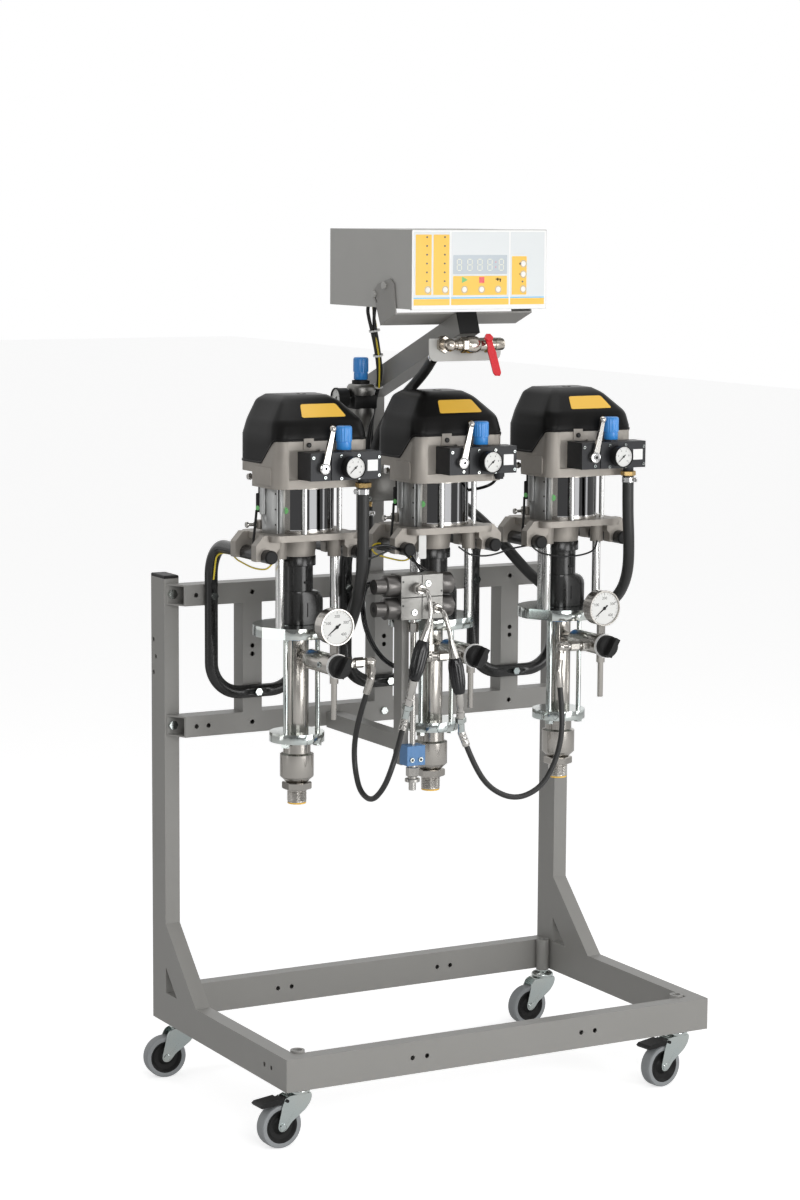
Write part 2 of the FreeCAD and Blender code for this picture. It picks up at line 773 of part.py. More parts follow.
def box_yoke():
    """Bent sheet yoke on the arm: a sloping base and two ears with a hole and a slot."""
    inner = box_half_x + panel_proud + ear_gap
    outer = inner + yoke_sheet
    front_y = arm_top_front_y + 4
    base = slab_x([(front_y, arm_line_z(front_y)), (yoke_rear_y, arm_line_z(yoke_rear_y)),
                   (yoke_rear_y, arm_line_z(yoke_rear_y, -yoke_sheet)),
                   (front_y, arm_line_z(front_y, -yoke_sheet))], -outer, outer)
    ear = [(front_y, arm_line_z(front_y)), (tilt_y - 32, tilt_z + 4), (tilt_y - 18, tilt_z + 13),
           (tilt_y + 28, tilt_z + 2), (tilt_y + 45, tilt_z - 13),
           (yoke_rear_y, arm_line_z(yoke_rear_y))]
    yoke = join([base, slab_x(ear, -outer, -inner), slab_x(ear, inner, outer)])
    tools = [rod(-outer - 1, tilt_y, tilt_z, tilt_hole, 2 * outer + 2, X_AXIS),
             tilt_slot(-1), tilt_slot(1)]
    return cut(yoke, tools)


def mixer_stand():
    """Arm forward from the lower carrier rail and the slim post that holds the block."""
    left, size = stand_left_x, stand_arm_size
    post_back = block_front_y + block_deep + 30
    post_front = block_front_y + block_deep
    arm = box(left, left + size, post_back, carrier_front, stand_arm_z, stand_arm_z + size)
    post = box(left, left + stand_post_wide, post_front, post_back, stand_post_foot_z,
               stand_post_top_z)
    wall = stand_wall
    arm_inside = box(left + wall, left + size - wall, post_back, carrier_front - wall,
                     stand_arm_z + wall, stand_arm_z + size - wall)
    post_inside = box(left + wall, left + stand_post_wide - wall, post_front + wall,
                      post_back - wall, stand_post_foot_z, stand_post_top_z)
    return cut(join([arm, post]), [arm_inside, post_inside])


def support_arms():
    """Painted supports: the control arm, its yoke and the mixing block's stand."""
    save("support_arms", [control_arm(), box_yoke(), mixer_stand()])


def around(x, angle, circle):
    """Point on a circle about a pump's axis."""
    turn = math.radians(angle)
    return x + circle * math.cos(turn), circle * math.sin(turn)


def base_casting(x):
    """Cast base: flange, neck, rod bosses and four hooks over the bracket's arms."""
    flange = rounded_block(x - 88, x + 88, -82, 62, flange_z, motor_base_z, 16)
    neck = turned([(0, casting_foot_z), (33, casting_foot_z), (36, flange_z), (0, flange_z)], x, 0, 0)
    pieces = [flange, neck]
    for angle in spacer_angles:
        px, py = around(x, angle, spacer_circle)
        pieces.append(rod(px, py, casting_foot_z, 12.5, flange_z - casting_foot_z))
    for side in (-1, 1):
        hook = [(side * u + x, z) for u, z in ((66, motor_base_z), (98, motor_base_z), (114, 1058),
                                               (114, 1029), (72, 1029), (72, 1046), (66, 1052))]
        for y in (-52, 35):
            pieces.append(slab_y(hook, y - 10, y + 10))
    casting = join(pieces)
    clear = bracket_radius + 0.3
    tools = [rod(x, 0, casting_foot_z - 1, rod_radius + rod_clearance, 60)]
    for side in (-1, 1):
        centre = x + side * bracket_half
        tools.append(rod(centre, -80, bracket_arm_z, clear, 160, Y_AXIS))
        tools.append(box(centre - clear, centre + clear, -80, 80, 1000, bracket_arm_z))
    return cut(casting, tools)


def side_valve(x):
    """Aluminium extrusion at the motor's left that leads air to its lower end."""
    height = motor_top_z - motor_base_z
    plate = box(x - 84, x - 69.5, -30, 30, motor_base_z, motor_top_z)
    nose = rod(x - 66.5, -55, motor_base_z, 14, height)
    web = box(x - 82, x - 70, -54, -28, motor_base_z, motor_top_z)
    return join([plate, nose, web])


def motor_cylinders():
    """Air motor cylinders with their tie rods and side extrusions."""
    pieces = []
    height = motor_top_z - motor_base_z
    for x in pump_places:
        pieces.append(turned([(motor_bore, 0), (motor_radius + 1.5, 0), (motor_radius + 1.5, 5),
                              (motor_radius, 6), (motor_radius, height - 6),
                              (motor_radius + 1.5, height - 5), (motor_radius + 1.5, height),
                              (motor_bore, height)], x, 0, motor_base_z))
        for rod_x, rod_y in motor_rods:
            pieces.append(rod(x + rod_x, rod_y, motor_base_z, motor_rod_radius, height))
        pieces.append(side_valve(x))
    save("motor_cylinders", pieces)


def below_hood(x):
    """Everything under the line where hood and head meet, high in front and low behind."""
    return slab_x([(-200, motor_top_z), (200, motor_top_z), (200, head_rear_z),
                   (head_step_rear_y, head_rear_z), (head_step_front_y, head_front_z),
                   (-200, head_front_z)], x - 150, x + 150)


def motor_head(x):
    """Cast head: rim, waisted rear, valve recess, screw tab and side lug."""
    full = (x - head_half_x, x + head_half_x, head_front_y, head_rear_y)
    blank = rounded_block(*full, motor_top_z, head_front_z, head_corner,
                          head_corner + rear_corner_extra).common(below_hood(x))
    waist = box(x - 150, x + 150, head_waist_y, 150, motor_top_z - 1, head_rim_z).cut(
        rounded_block(x - head_waist_half, x + head_waist_half, head_waist_y - 40, head_rear_y - 6,
                      motor_top_z - 1, head_rim_z, head_corner))
    inside = rounded_block(x - head_waist_half + 8, x + head_waist_half - 8, recess_floor_y + 8,
                           head_rear_y - 14, motor_top_z + 14, head_front_z + 5, 14)
    recess = box(x + recess_left_x, x + valve_right_x + 1, head_front_y - 1, recess_floor_y,
                 controls_z - 1, controls_z + controls_high + 3)
    tab = box(x + tab_x - tab_half, x + tab_x + tab_half, head_front_y - 2, head_front_y + 7,
              head_front_z - 15, head_front_z + tab_proud)
    screw = rod(x + tab_x, head_front_y - 2, head_front_z - 7, 4, 2, FRONT)
    lug = rod(x - head_waist_half + 4, 14, 1177, 4, 20, V(-1, 0, 0))
    return join([cut(blank, [waist, inside, recess]), tab, screw, lug])


def hood_loft(x, inset):
    """Hipped hood volume with a rounded shoulder and a nearly flat top, drawn in by an inset."""
    levels = ((head_rear_z - 20, head_half_x, head_front_y, head_rear_y, head_corner, 0),
              (hood_shoulder_z - 16, head_half_x - 2, head_front_y + 1.5, head_rear_y - 2,
               head_corner + 1, 0),
              (hood_shoulder_z, head_half_x - 5, head_front_y + 5, head_rear_y - 5,
               head_corner + 2, 0),
              (hood_crease_z - inset, hood_crease_half, hood_crease_front_y, hood_crease_rear_y,
               hood_crease_corner, hood_rear_spread),
              (hood_top_z - inset, hood_crease_half - 14, hood_crease_front_y + 20,
               hood_crease_rear_y - 9, hood_crease_corner - 4, hood_rear_spread - 2))
    sections = []
    for z, half, front, rear, corner, spread in levels:
        sections.append(rounded_outline(x - half + inset, x + half - inset, front + inset,
                                        rear - inset, corner - inset, z,
                                        corner - inset + rear_corner_extra, spread))
    return Part.makeLoft(sections, True, True)


def motor_cover(x):
    """Moulded hood with a hipped top, a lip at its edge and a plug in its crown."""
    lip = rounded_block(x - head_half_x - 1.5, x + head_half_x + 1.5, head_front_y - 1.5,
                        head_rear_y + 1.5, head_rear_z, head_front_z + 4, head_corner,
                        head_corner + rear_corner_extra)
    lip_line = below_hood(x)
    lip_line.translate(V(0, 0, 4))
    core = cut(hood_loft(x, hood_wall), [below_hood(x)])
    shell = join([cut(hood_loft(x, 0), [below_hood(x)]),
                  cut(lip.common(lip_line), [below_hood(x)])])
    notch = box(x + tab_x - tab_half - 0.3, x + tab_x + tab_half + 0.3, head_front_y - 4,
                head_front_y + 7.3, head_front_z - 1, head_front_z + tab_proud + 0.3)
    plug = rod(x + 6, -4, hood_top_z - 2, 9, 3)
    return join([cut(shell, [core, notch]), plug])


def coupling_guard(x):
    """Lower cup with its side lobe and sloping shoulder, in two moulded halves' outline."""
    bottom = upper_plate_z + upper_plate_thick

    def lobe(radius, z0, z1):
        main = rod(x, 0, z0, radius, z1 - z0)
        side = rod(x + cup_lobe, 0, z0, radius, z1 - z0)
        web = box(x, x + cup_lobe, -radius, radius, z0, z1)
        return join([main, side, web])
    cup = lobe(guard_radius, bottom, cup_top_z + 25)
    cup = cup.cut(lobe(guard_radius - guard_wall, bottom, cup_top_z + 25))
    above = slab_y([(x - 60, cup_top_z), (x + guard_radius, cup_top_z), (x + guard_radius, 1100),
                    (x - 60, 1100)], -60, 60)
    shoulder = slab_y([(x + guard_radius, cup_top_z + 26), (x + 70, cup_top_z - 10),
                       (x + 70, 1100), (x + guard_radius, 1100)], -60, 60)
    lower = cut(cup, [above, shoulder])
    upper = turned([(guard_radius - guard_wall - 1, cup_top_z), (guard_radius - 0.5, cup_top_z),
                    (guard_radius - 0.5, guard_top_z), (guard_radius + 4, guard_top_z),
                    (guard_radius + 4, casting_foot_z), (guard_radius - guard_wall - 1, casting_foot_z)],
                   x, 0, 0)
    windows = []
    for angle in (-50, 130):
        slot = box(20, 45, -7, 7, cup_top_z + 6, guard_top_z - 5)
        slot.rotate(V(0, 0, 0), Z_AXIS, angle)
        slot.translate(V(x, 0, 0))
        windows.append(slot)
    return [lower, cut(upper, windows)]


def upper_plate(x):
    """Upper clamp plate: a disc with three flats and holes for its rods."""
    plate = rod(x, 0, upper_plate_z, upper_plate_radius, upper_plate_thick)
    tools = [rod(x, 0, upper_plate_z - 1, rod_radius + 4, upper_plate_thick + 2)]
    for angle in (-150, -30):
        flat = box(plate_flat, 120, -120, 120, upper_plate_z - 1, upper_plate_z + 40)
        flat.rotate(V(0, 0, 0), Z_AXIS, angle)
        flat.translate(V(x, 0, 0))
        tools.append(flat)
    for angle in tie_angles:
        px, py = around(x, angle, tie_rod_circle)
        tools.append(rod(px, py, upper_plate_z - 1, tie_rod_radius, upper_plate_thick + 2))
    return cut(plate, tools)


def lower_plate(x):
    """Lower clamp plate round the inlet's neck."""
    plate = rod(x, 0, lower_plate_z, lower_plate_radius, lower_plate_thick)
    tools = [rod(x, 0, lower_plate_z - 1, fluid_radius, lower_plate_thick + 2)]
    for angle in tie_angles:
        px, py = around(x, angle, tie_rod_circle)
        tools.append(rod(px, py, lower_plate_z - 1, tie_rod_radius, lower_plate_thick + 2))
    return cut(plate, tools)


def clamp_sets():
    """Plates, spacer rods and tie rods with their nuts that clamp each pump together."""
    pieces = []
    plate_top = upper_plate_z + upper_plate_thick
    for x in pump_places:
        pieces += [upper_plate(x), lower_plate(x)]
        for angle in spacer_angles:
            px, py = around(x, angle, spacer_circle)
            pieces.append(rod(px, py, plate_top, spacer_radius, casting_foot_z - plate_top))
        for angle in tie_angles:
            px, py = around(x, angle, tie_rod_circle)
            foot = lower_plate_z - tie_nut_high
            pieces.append(join([rod(px, py, foot, tie_rod_radius, plate_top - foot - 0.5),
                                hexagon(tie_nut_flats, tie_nut_high, px, py, foot)]))
    save("clamp_sets", pieces)


def fluid_cylinder(x):
    """Polished cylinder with its bore, packing seat and the relief valve's port."""
    top = upper_plate_z
    foot = lower_plate_z
    shape = turned([(fluid_bore, foot), (fluid_radius, foot), (fluid_radius, top),
                    (rod_radius + rod_clearance, top), (rod_radius + rod_clearance, top - 14),
                    (fluid_bore, top - 14)], x, 0, 0)
    port = rod(x, 0, relief_z, relief_stub_radius, 40, FRONT)
    return shape.cut(port)


def inlet_valve(x):
    """Foot valve: neck, body, cone, hexagon and threaded suction end, with its bore."""
    body = turned([(inlet_bore, inlet_tip_z + seal_ring_thick), (thread_radius, inlet_tip_z + seal_ring_thick),
                   (thread_radius, thread_top_z), (thread_radius + 1, thread_top_z),
                   (thread_radius + 1, hex_top_z), (inlet_body_radius, cone_top_z),
                   (inlet_body_radius, inlet_body_top_z), (inlet_neck_radius, inlet_body_top_z + 2),
                   (inlet_neck_radius, lower_plate_z), (inlet_bore, lower_plate_z)], x, 0, 0)
    nut = hexagon(inlet_hex_flats, hex_top_z - thread_top_z, x, 0, thread_top_z)
    nut = nut.cut(rod(x, 0, thread_top_z, inlet_bore + 2, 40))
    seal = turned([(inlet_bore, inlet_tip_z), (thread_radius - 1, inlet_tip_z),
                   (thread_radius - 1, inlet_tip_z + seal_ring_thick),
                   (inlet_bore, inlet_tip_z + seal_ring_thick)], x, 0, 0)
    blue = turned([(fluid_radius, upper_plate_z - 9), (blue_ring_radius, upper_plate_z - 9),
                   (blue_ring_radius, upper_plate_z), (fluid_radius, upper_plate_z)], x, 0, 0)
    return [join([body, nut]), seal, blue]


def pump_rod(x):
    """Motor piston, rod, coupling and plunger on one line, half way through the stroke."""
    upper_foot = coupling_z + coupling_long
    plunger_top = 800.0
    return turned([(0, plunger_top - plunger_length), (plunger_radius, plunger_top - plunger_length),
                   (plunger_radius, plunger_top), (rod_radius, plunger_top), (rod_radius, coupling_z),
                   (coupling_radius, coupling_z), (coupling_radius, upper_foot),
                   (rod_radius, upper_foot), (rod_radius, piston_z), (piston_radius, piston_z),
                   (piston_radius, piston_z + piston_thick), (0, piston_z + piston_thick)], x, 0, 0)


def relief_valve(x, side):
    """Relief valve on the cylinder's front with its return pipe and one side outlet."""
    stub_end = -fluid_radius
    body = turned([(0, 0), (relief_stub_radius, 0), (relief_stub_radius, -relief_body_y + stub_end - 10),
                   (relief_radius, -relief_body_y + stub_end), (relief_radius, stub_end - relief_ring_y),
                   (0, stub_end - relief_ring_y)], x, stub_end, relief_z, FRONT)
    root = rod(x, -fluid_bore - 1, relief_z, relief_stub_radius, 6, FRONT)
    pipe = rod(x, return_pipe_y, return_pipe_end_z, return_pipe_radius, relief_z - return_pipe_end_z)
    collar = rod(x, return_pipe_y, return_collar_z, return_collar_radius, relief_z - return_collar_z)
    reach = relief_radius - 4
    nipple = rod(x + side * reach, union_y, relief_z, union_radius, union_reach - reach, V(side, 0, 0))
    first_nut = hexagon(union_flats + 3, 14, x + side * (relief_radius + 6), union_y, relief_z,
                        V(side, 0, 0))
    second_nut = hexagon(union_flats, 18, x + side * (union_reach - 34), union_y, relief_z,
                         V(side, 0, 0))
    shaft_hole = rod(x, relief_ring_y, relief_z, 6.3, 14, Y_AXIS)
    valve = join([body, root, pipe, collar, nipple, first_nut, second_nut])
    return cut(valve, [shaft_hole])


def outlet_elbow(x, side, target, ferrule=None):
    """Elbow at the end of a side outlet with its leg down to a ferrule or up to a target."""
    corner = V(x + side * (union_reach + 2), union_y, relief_z)
    ball = Part.makeSphere(9.5, corner)
    inlet = rod(corner.x - side * 2, union_y, relief_z, 8.5, 10, V(-side, 0, 0))
    aim = target - corner
    leg = bar_between(corner, target, ferrule_radius)
    collar = hexagon(union_flats, 12, *(corner + aim.normalize() * 12), aim)
    pieces = [ball, inlet, leg, collar]
    if ferrule:
        pieces += [ferrule, Part.makeSphere(ferrule_radius, target)]
    return join(pieces)


def relief_valves():
    """Relief valves of the three pumps with their unions, elbows and white rings."""
    pieces = []
    for x, side in zip(pump_places, (1, -1, -1)):
        pieces.append(relief_valve(x, side).cut(
            box(*sorted((x + side * (union_reach - 10), x + side * (union_reach + 40))),
                union_y - 20, union_y + 20, relief_z - 20, relief_z + 20)))
        pieces.append(turned([(6.3, 0), (relief_ring_radius, 0), (relief_ring_radius, relief_ring_thick),
                              (6.3, relief_ring_thick)], x, relief_ring_y, relief_z, FRONT))
    ferrule, top = nozzle(hose_a_route, ferrule_radius, 30, at_start=True)
    pieces.append(outlet_elbow(pump_places[0], 1, top, ferrule))
    ferrule, top = nozzle(hose_b_route, ferrule_radius, 30)
    pieces.append(outlet_elbow(pump_places[2], -1, top, ferrule))
    pieces.append(outlet_elbow(pump_places[1], -1, V(-union_reach - 2, union_y, block_bottom_z)))
    save("relief_valves", pieces)


def relief_knob(x):
    """Wing knob of a relief valve with its shaft."""
    face = relief_ring_y - relief_ring_thick - turning_clearance
    knob = turned([(0, 0), (relief_knob_radius, 0), (relief_knob_radius, 11),
                   (relief_knob_radius - 4, 14), (0, 14)], x, face, relief_z, FRONT)
    wing = slab_y([(x - 5, relief_z - 19), (x + 5, relief_z - 19), (x + 5, relief_z + 19),
                   (x - 5, relief_z + 19)], face - relief_knob_deep, face - 13)
    wing.rotate(V(x, 0, relief_z), Y_AXIS, 30)
    shaft = rod(x, face, relief_z, 6.2, 16, Y_AXIS)
    return join([knob, wing, shaft])


def pressure_gauges():
    """Round gauges: one on each air regulator and one on each component's relief valve."""
    pieces = []
    for x in pump_places:
        centre_x, centre_z = x + knob_x, controls_z + air_gauge_up
        pieces.append(turned([(0, 0), (6, 0), (6, 4), (air_gauge_radius, 4),
                              (air_gauge_radius, air_gauge_deep), (0, air_gauge_deep)],
                             centre_x, controls_front_y, centre_z, FRONT))
    for x in (pump_places[0], pump_places[2]):
        top = relief_z + relief_radius - 1
        radius = material_gauge_radius
        stem = hexagon(gauge_stem_flats, gauge_stem_high + 4, x, return_pipe_y, top)
        case = turned([(0, 0), (radius - 3, 0), (radius - 2, material_gauge_deep - 5),
                       (radius, material_gauge_deep - 5), (radius, material_gauge_deep),
                       (0, material_gauge_deep)], x, return_pipe_y + 14,
                      top + gauge_stem_high + radius - 1, FRONT)
        seat = rod(x, -100, relief_z, relief_radius, 70, FRONT)
        pieces.append(join([stem, case]).cut(seat))
    save("pressure_gauges", pieces)


def air_controls(x):
    """Shut-off valve, regulator and outlet block in one row on a pump's front."""
    top = controls_z + controls_high
    valve = box(x + valve_left_x, x + valve_right_x, controls_front_y, recess_floor_y,
                controls_z, top)
    valve = valve.cut(rod(x + lever_x, controls_front_y - 1, lever_z, lever_shaft + rod_clearance,
                          14, Y_AXIS))
    body = box(x + regulator_left_x, x + regulator_right_x, controls_front_y, head_front_y,
               controls_z, top)
    boss = rod(x + knob_x, knob_y, top, 14, 3)
    spigot = rod(x + knob_x, knob_y, top + 3, knob_spigot, 10)
    outlet = box(x + outlet_block_left_x, x + outlet_block_right_x, outlet_block_front_y,
                 head_front_y, controls_z, top)
    tail = turned([(0, 0), (10, 0), (10, -8), (tail_radius, -8), (tail_radius, -tail_seat),
                   (0, -tail_seat)], x + tail_x, tail_y, controls_z)
    return [valve, join([body, boss, spigot]), join([outlet, tail])]


def air_control_blocks():
    """The three rows of air control blocks."""
    pieces = []
    for x in pump_places:
        pieces += air_controls(x)
    save("air_control_blocks", pieces)


def regulator_knob(x, y, foot):
    """Turning knob of a regulator, hollow below to fit over its spigot."""
    knob = turned([(knob_bore, 0), (knob_radius - 1, 0), (knob_radius - 1, 14), (knob_radius, 15),
                   (knob_radius, knob_high - 4), (knob_radius - 3, knob_high), (0, knob_high),
                   (0, 12), (knob_bore, 12)], x, y, foot + turning_clearance)
    grooves = []
    for angle in range(0, 360, 60):
        groove_x, groove_y = around(x, angle, knob_radius + 1)
        grooves.append(rod(groove_x, y + groove_y, foot + 16, 1.8, knob_high))
    return cut(knob, grooves)


def shutoff_lever(x):
    """Ball-ended lever of an air shut-off valve with its hub and shaft."""
    centre = V(x + lever_x, controls_front_y - turning_clearance, lever_z)
    hub = rod(centre.x, centre.y, centre.z, 10, 10, FRONT)
    shaft = rod(centre.x, centre.y + 12, centre.z, lever_shaft, 14, FRONT)
    bar = slab_y([(centre.x - 6, lever_z), (centre.x + 6, lever_z),
                  (centre.x + 3.5, lever_z + lever_reach), (centre.x - 3.5, lever_z + lever_reach)],
                 centre.y - 10, centre.y - 4)
    ball = Part.makeSphere(lever_ball, V(centre.x, centre.y - 7, lever_z + lever_reach))
    blade = join([bar, ball])
    blade.rotate(centre, Y_AXIS, lever_lean)
    return join([hub, shaft, blade])


def mixing_blocks():
    """Four aluminium blocks in a two by two stack."""
    half_x = block_width / 2
    half_z = block_high / 2
    back = block_front_y + block_deep
    pieces = []
    for column in (0, 1):
        for row in (0, 1):
            x0 = block_left_x + column * half_x + block_joint / 2
            z0 = block_bottom_z + row * half_z + block_joint / 2
            block = box(x0, x0 + half_x - block_joint, block_front_y, back, z0,
                        z0 + half_z - block_joint)
            pieces.append(block.makeChamfer(0.8, [edge for edge in block.Edges
                                                  if edge.CenterOfMass.y < block_front_y + 0.1]))
    save("mixing_block", pieces)


def dosing_valves():
    """Four air-operated valve heads, two on each side of the mixing block."""
    pieces = []
    y = block_front_y + block_deep / 2
    for row in (0.25, 0.75):
        z = block_bottom_z + row * block_high
        pieces.append(turned([(0, 0), (actuator_radius, 0), (actuator_radius, 24),
                              (actuator_cap_radius, 26), (actuator_cap_radius, 46), (0, 46)],
                             block_left_x, y, z, V(-1, 0, 0)))
        pieces.append(turned([(0, 0), (actuator_radius, 0), (actuator_radius, 24), (8, 27), (8, 33),
                              (0, 33)], block_left_x + block_width, y, z, X_AXIS))
    save("dosing_valves", pieces)


def line_between(start, end, radius_start, radius_end):
    """Straight round piece between two points, tapering from one radius to the other."""
    aim = V(*end) - V(*start)
    if abs(radius_start - radius_end) < 0.01:
        return Part.makeCylinder(radius_start, aim.Length, V(*start), aim)
    return Part.makeCone(radius_start, radius_end, aim.Length, V(*start), aim)


def feed_tube(fitting, bend_points, cone_end):
    """Steel feed tube: nut on the block, bent tube and flared socket for its grip."""
    x, z = fitting
    nut = hexagon(19, 12, x, block_front_y, z, FRONT)
    collar = hexagon(16, 8, x, block_front_y - 12, z, FRONT)
    route = [(x, block_front_y - 18, z)] + bend_points
    tube = route_tube(route, 4.3)
    cone = line_between(bend_points[-1], cone_end, 4.3, 9.2)
    return join([nut, collar, tube, cone])


def hose_grip(start, end, route, at_start):
    """Ribbed grip over a feed tube's socket and the coupling and ferrule that follow it."""
    aim = V(*end) - V(*start)
    length = aim.Length
    grip = turned([(0, 0), (grip_radius - 3.5, 0), (grip_radius, length * 0.25),
                   (grip_radius - 1, length * 0.7), (grip_radius - 5, length), (0, length)],
                  *start, aim)
    ferrule, joint = nozzle(route, ferrule_radius, 24, at_start)
    follow = joint - V(*end)
    coupling = turned([(0, 0), (8, 0), (8, follow.Length * 0.7), (6, follow.Length), (0, follow.Length)],
                      *end, follow)
    nut = hexagon(18, 11, *(V(*end) + follow * 0.6), follow)
    swivel = Part.makeSphere(ferrule_radius, joint)
    return grip, join([coupling, nut, swivel, ferrule])


def mixer_pipe():
    """Outlet pipe below the block with its union, end nut, flange and thread."""
    y = block_front_y + block_deep - mixer_clamp_deep / 2
    top = block_bottom_z
    foot = mixer_clamp_z
    pipe = turned([(3, mixer_end_z), (6.8, mixer_end_z), (6.8, 613), (14, 613), (14, 619),
                   (9, 620), (9, foot - 1), (mixer_radius, foot - 1), (mixer_radius, top),
                   (3, top)], mixer_x, y, 0)
    union = hexagon(17, 18, mixer_x, y, top - 26).cut(rod(mixer_x, y, top - 30, mixer_radius, 30))
    nut = hexagon(21, 18, mixer_x, y, foot - 22).cut(rod(mixer_x, y, foot - 30, 8, 30))
    return join([pipe, union, nut])


def feed_lines():
    """Feed tubes with their grips and couplings, and the mixer's outlet pipe."""
    pieces = []
    lines = ((feed_one_fitting, feed_one_bend, feed_one_socket, feed_one_grip_end, hose_a_route, False),
             (feed_two_fitting, feed_two_bend, feed_two_socket, feed_two_grip_end, hose_b_route, True))
    for fitting, bend, socket, grip_end, route, at_start in lines:
        tube = feed_tube(fitting, bend, socket)
        grip, coupling = hose_grip(socket, grip_end, route, at_start)
        grip = grip.cut(tube)
        pieces += [tube, grip, coupling.cut(grip)]
    pieces.append(mixer_pipe())
    save("feed_lines", pieces)


def pipe_clamp():
    """Moulded two-part clamp that holds the mixer's outlet pipe on the post."""
    back = block_front_y + block_deep
    middle = back - mixer_clamp_deep / 2
    left = mixer_x - mixer_clamp_wide / 2
    halves = []
    for y0, y1 in ((middle, back), (back - mixer_clamp_deep, middle)):
        half = box(left, left + mixer_clamp_wide, y0, y1, mixer_clamp_z,
                   mixer_clamp_z + mixer_clamp_high)
        halves.append(half.cut(rod(mixer_x, middle, mixer_clamp_z - 1, mixer_radius + 0.05,
                                   mixer_clamp_high + 2)))
    save("pipe_clamp", halves)


def tilt_stem(shape):
    """Tilt a shape made for a forward-facing stem up about the ball valve's own axis."""
    shape.rotate(V(0, inlet_valve_y, inlet_valve_z), X_AXIS, -stem_tilt)
    return shape


def ball_valve():
    """Main shut-off: elbow through the plate, union, ball housing and end fitting in line."""
    y, z = inlet_valve_y, inlet_valve_z
    body = turned([(0, 0), (8, 0), (8, 13), (10, 14), (10, 22), (12, 23), (12, 31), (15, 35),
                   (16, 45), (15, 56), (12, 60), (12, 72), (9, 73), (9, 92), (11, 93), (11, 110),
                   (7, 112), (0, 112)], elbow_x, y, z, X_AXIS)
    hexes = [hexagon(26, 12, elbow_x + 22, y, z, X_AXIS), hexagon(26, 12, elbow_x + 72, y, z, X_AXIS)]
    elbow = Part.makeSphere(12, V(elbow_x, y, z))
    through = rod(elbow_x, y, z, bulkhead_radius, arm_top_front_y + 12 - y, Y_AXIS)
    nuts = [hexagon(28, 7, elbow_x, plate_y, z, FRONT),
            hexagon(28, 6, elbow_x, plate_y + plate_thick, z, Y_AXIS)]
    tail, joint = nozzle(main_hose_route, 8, 8, at_start=True)
    rear = V(elbow_x, arm_top_front_y + 12, z)
    neck = bar_between(rear, joint, 8)
    stem = tilt_stem(rod(lever_stem_x, y, z, 6, 19, FRONT))
    shape = join([body] + hexes + nuts + [elbow, through, neck, Part.makeSphere(9, rear),
                                          Part.makeSphere(8, joint), tail, stem])
    return shape.cut(tilt_stem(rod(lever_stem_x, y - 8, z, 2.5 + rod_clearance, 20, FRONT)))


def inlet_plate():
    """Rounded plate under the arm's end that carries the ball valve."""
    plate = rounded_plate_y(-76, 76, inlet_valve_z - plate_below, inlet_valve_z + plate_above, 18,
                            plate_y + plate_thick, plate_y)
    tab = box(-18, 18, plate_y, plate_y + plate_thick, inlet_valve_z,
              arm_line_z(plate_y + plate_thick, arm_tube))
    hole = rod(elbow_x, plate_y - 1, inlet_valve_z, bulkhead_radius, plate_thick + 2, Y_AXIS)
    return join([plate, tab]).cut(hole)


def rounded_plate_y(x0, x1, z0, z1, corner, y0, y1):
    """Plate facing the front with rounded lower corners."""
    plate = Part.Face(rounded_outline(x0, x1, z0, z1 + 2 * corner, corner, 0)).extrude(
        V(0, 0, abs(y1 - y0)))
    plate = plate.common(box(x0, x1, z0, z1, 0, abs(y1 - y0)))
    plate.rotate(V(0, 0, 0), X_AXIS, 90)
    plate.translate(V(0, max(y0, y1), 0))
    return plate


def main_regulator():
    """Filter regulator beside the post: bowl, body, flange and the knob's spigot."""
    x, y = main_regulator_x, main_regulator_y
    body = turned([(0, 1228), (7, 1228), (9, 1236), (23, 1268), (25, 1276), (25, 1284), (21, 1286),
                   (21, 1308), (27, 1309), (27, 1324), (24, 1329), (17, 1330), (17, 1337),
                   (knob_spigot, 1338), (knob_spigot, 1347), (0, 1347)], x, y, 0)
    block = box(x - 24, x + 24, y - 22, y + 22, 1284, 1308)
    gauge_stem = rod(x - 20, y, 1304, 6, 11.5, V(-1, 0, 0))
    gauge = turned([(0, 0), (20, 0), (20, 24), (0, 24)], x - 31.5, y, 1304, V(-1, 0, 0))
    bracket = box(x + 10, -arm_tube / 2, y + 14, y + 18, 1290, 1322)
    return [join([body, block, gauge_stem]), gauge,
            bracket.cut(join([body, block]))]


def air_manifold():
    """Aluminium distribution block on the post's front with its hose tails."""
    front = carrier_back - manifold_deep
    block = box(-manifold_half_x, manifold_half_x, front, carrier_back, manifold_z,
                manifold_z + manifold_high)
    tails = [nozzle(route, tail_radius, tail_seat + 4)[0]
             for route in (air_hose_left_route, main_hose_route)]
    tails.append(nozzle(air_hose_right_route, tail_radius, tail_seat + 4, at_start=True)[0])
    return join([block] + tails)


def air_inlet_set():
    """Main air inlet: ball valve, its plate, filter regulator and distribution block."""
    save("air_inlet_set", [ball_valve(), inlet_plate()] + main_regulator() + [air_manifold()])


def red_lever():
    """Flat handle of the main ball valve, hanging from its tilted stem."""
    y = inlet_valve_y - 19 - turning_clearance
    z = inlet_valve_z
    hub = hexagon(15, 5, lever_stem_x, y, z, FRONT)
    pin = rod(lever_stem_x, y + 9, z, 2.5, 12, FRONT)
    strap = slab_y([(-6, 0), (6, 0), (6, -16), (8, -30), (8, -lever_length + 6), (5, -lever_length),
                    (-5, -lever_length), (-8, -lever_length + 6), (-8, -30), (-6, -16)], y - 3, y)
    strap.rotate(V(0, 0, 0), Y_AXIS, -lever_hang)
    strap.translate(V(lever_stem_x, 0, z))
    return tilt_stem(join([hub, pin, strap]))


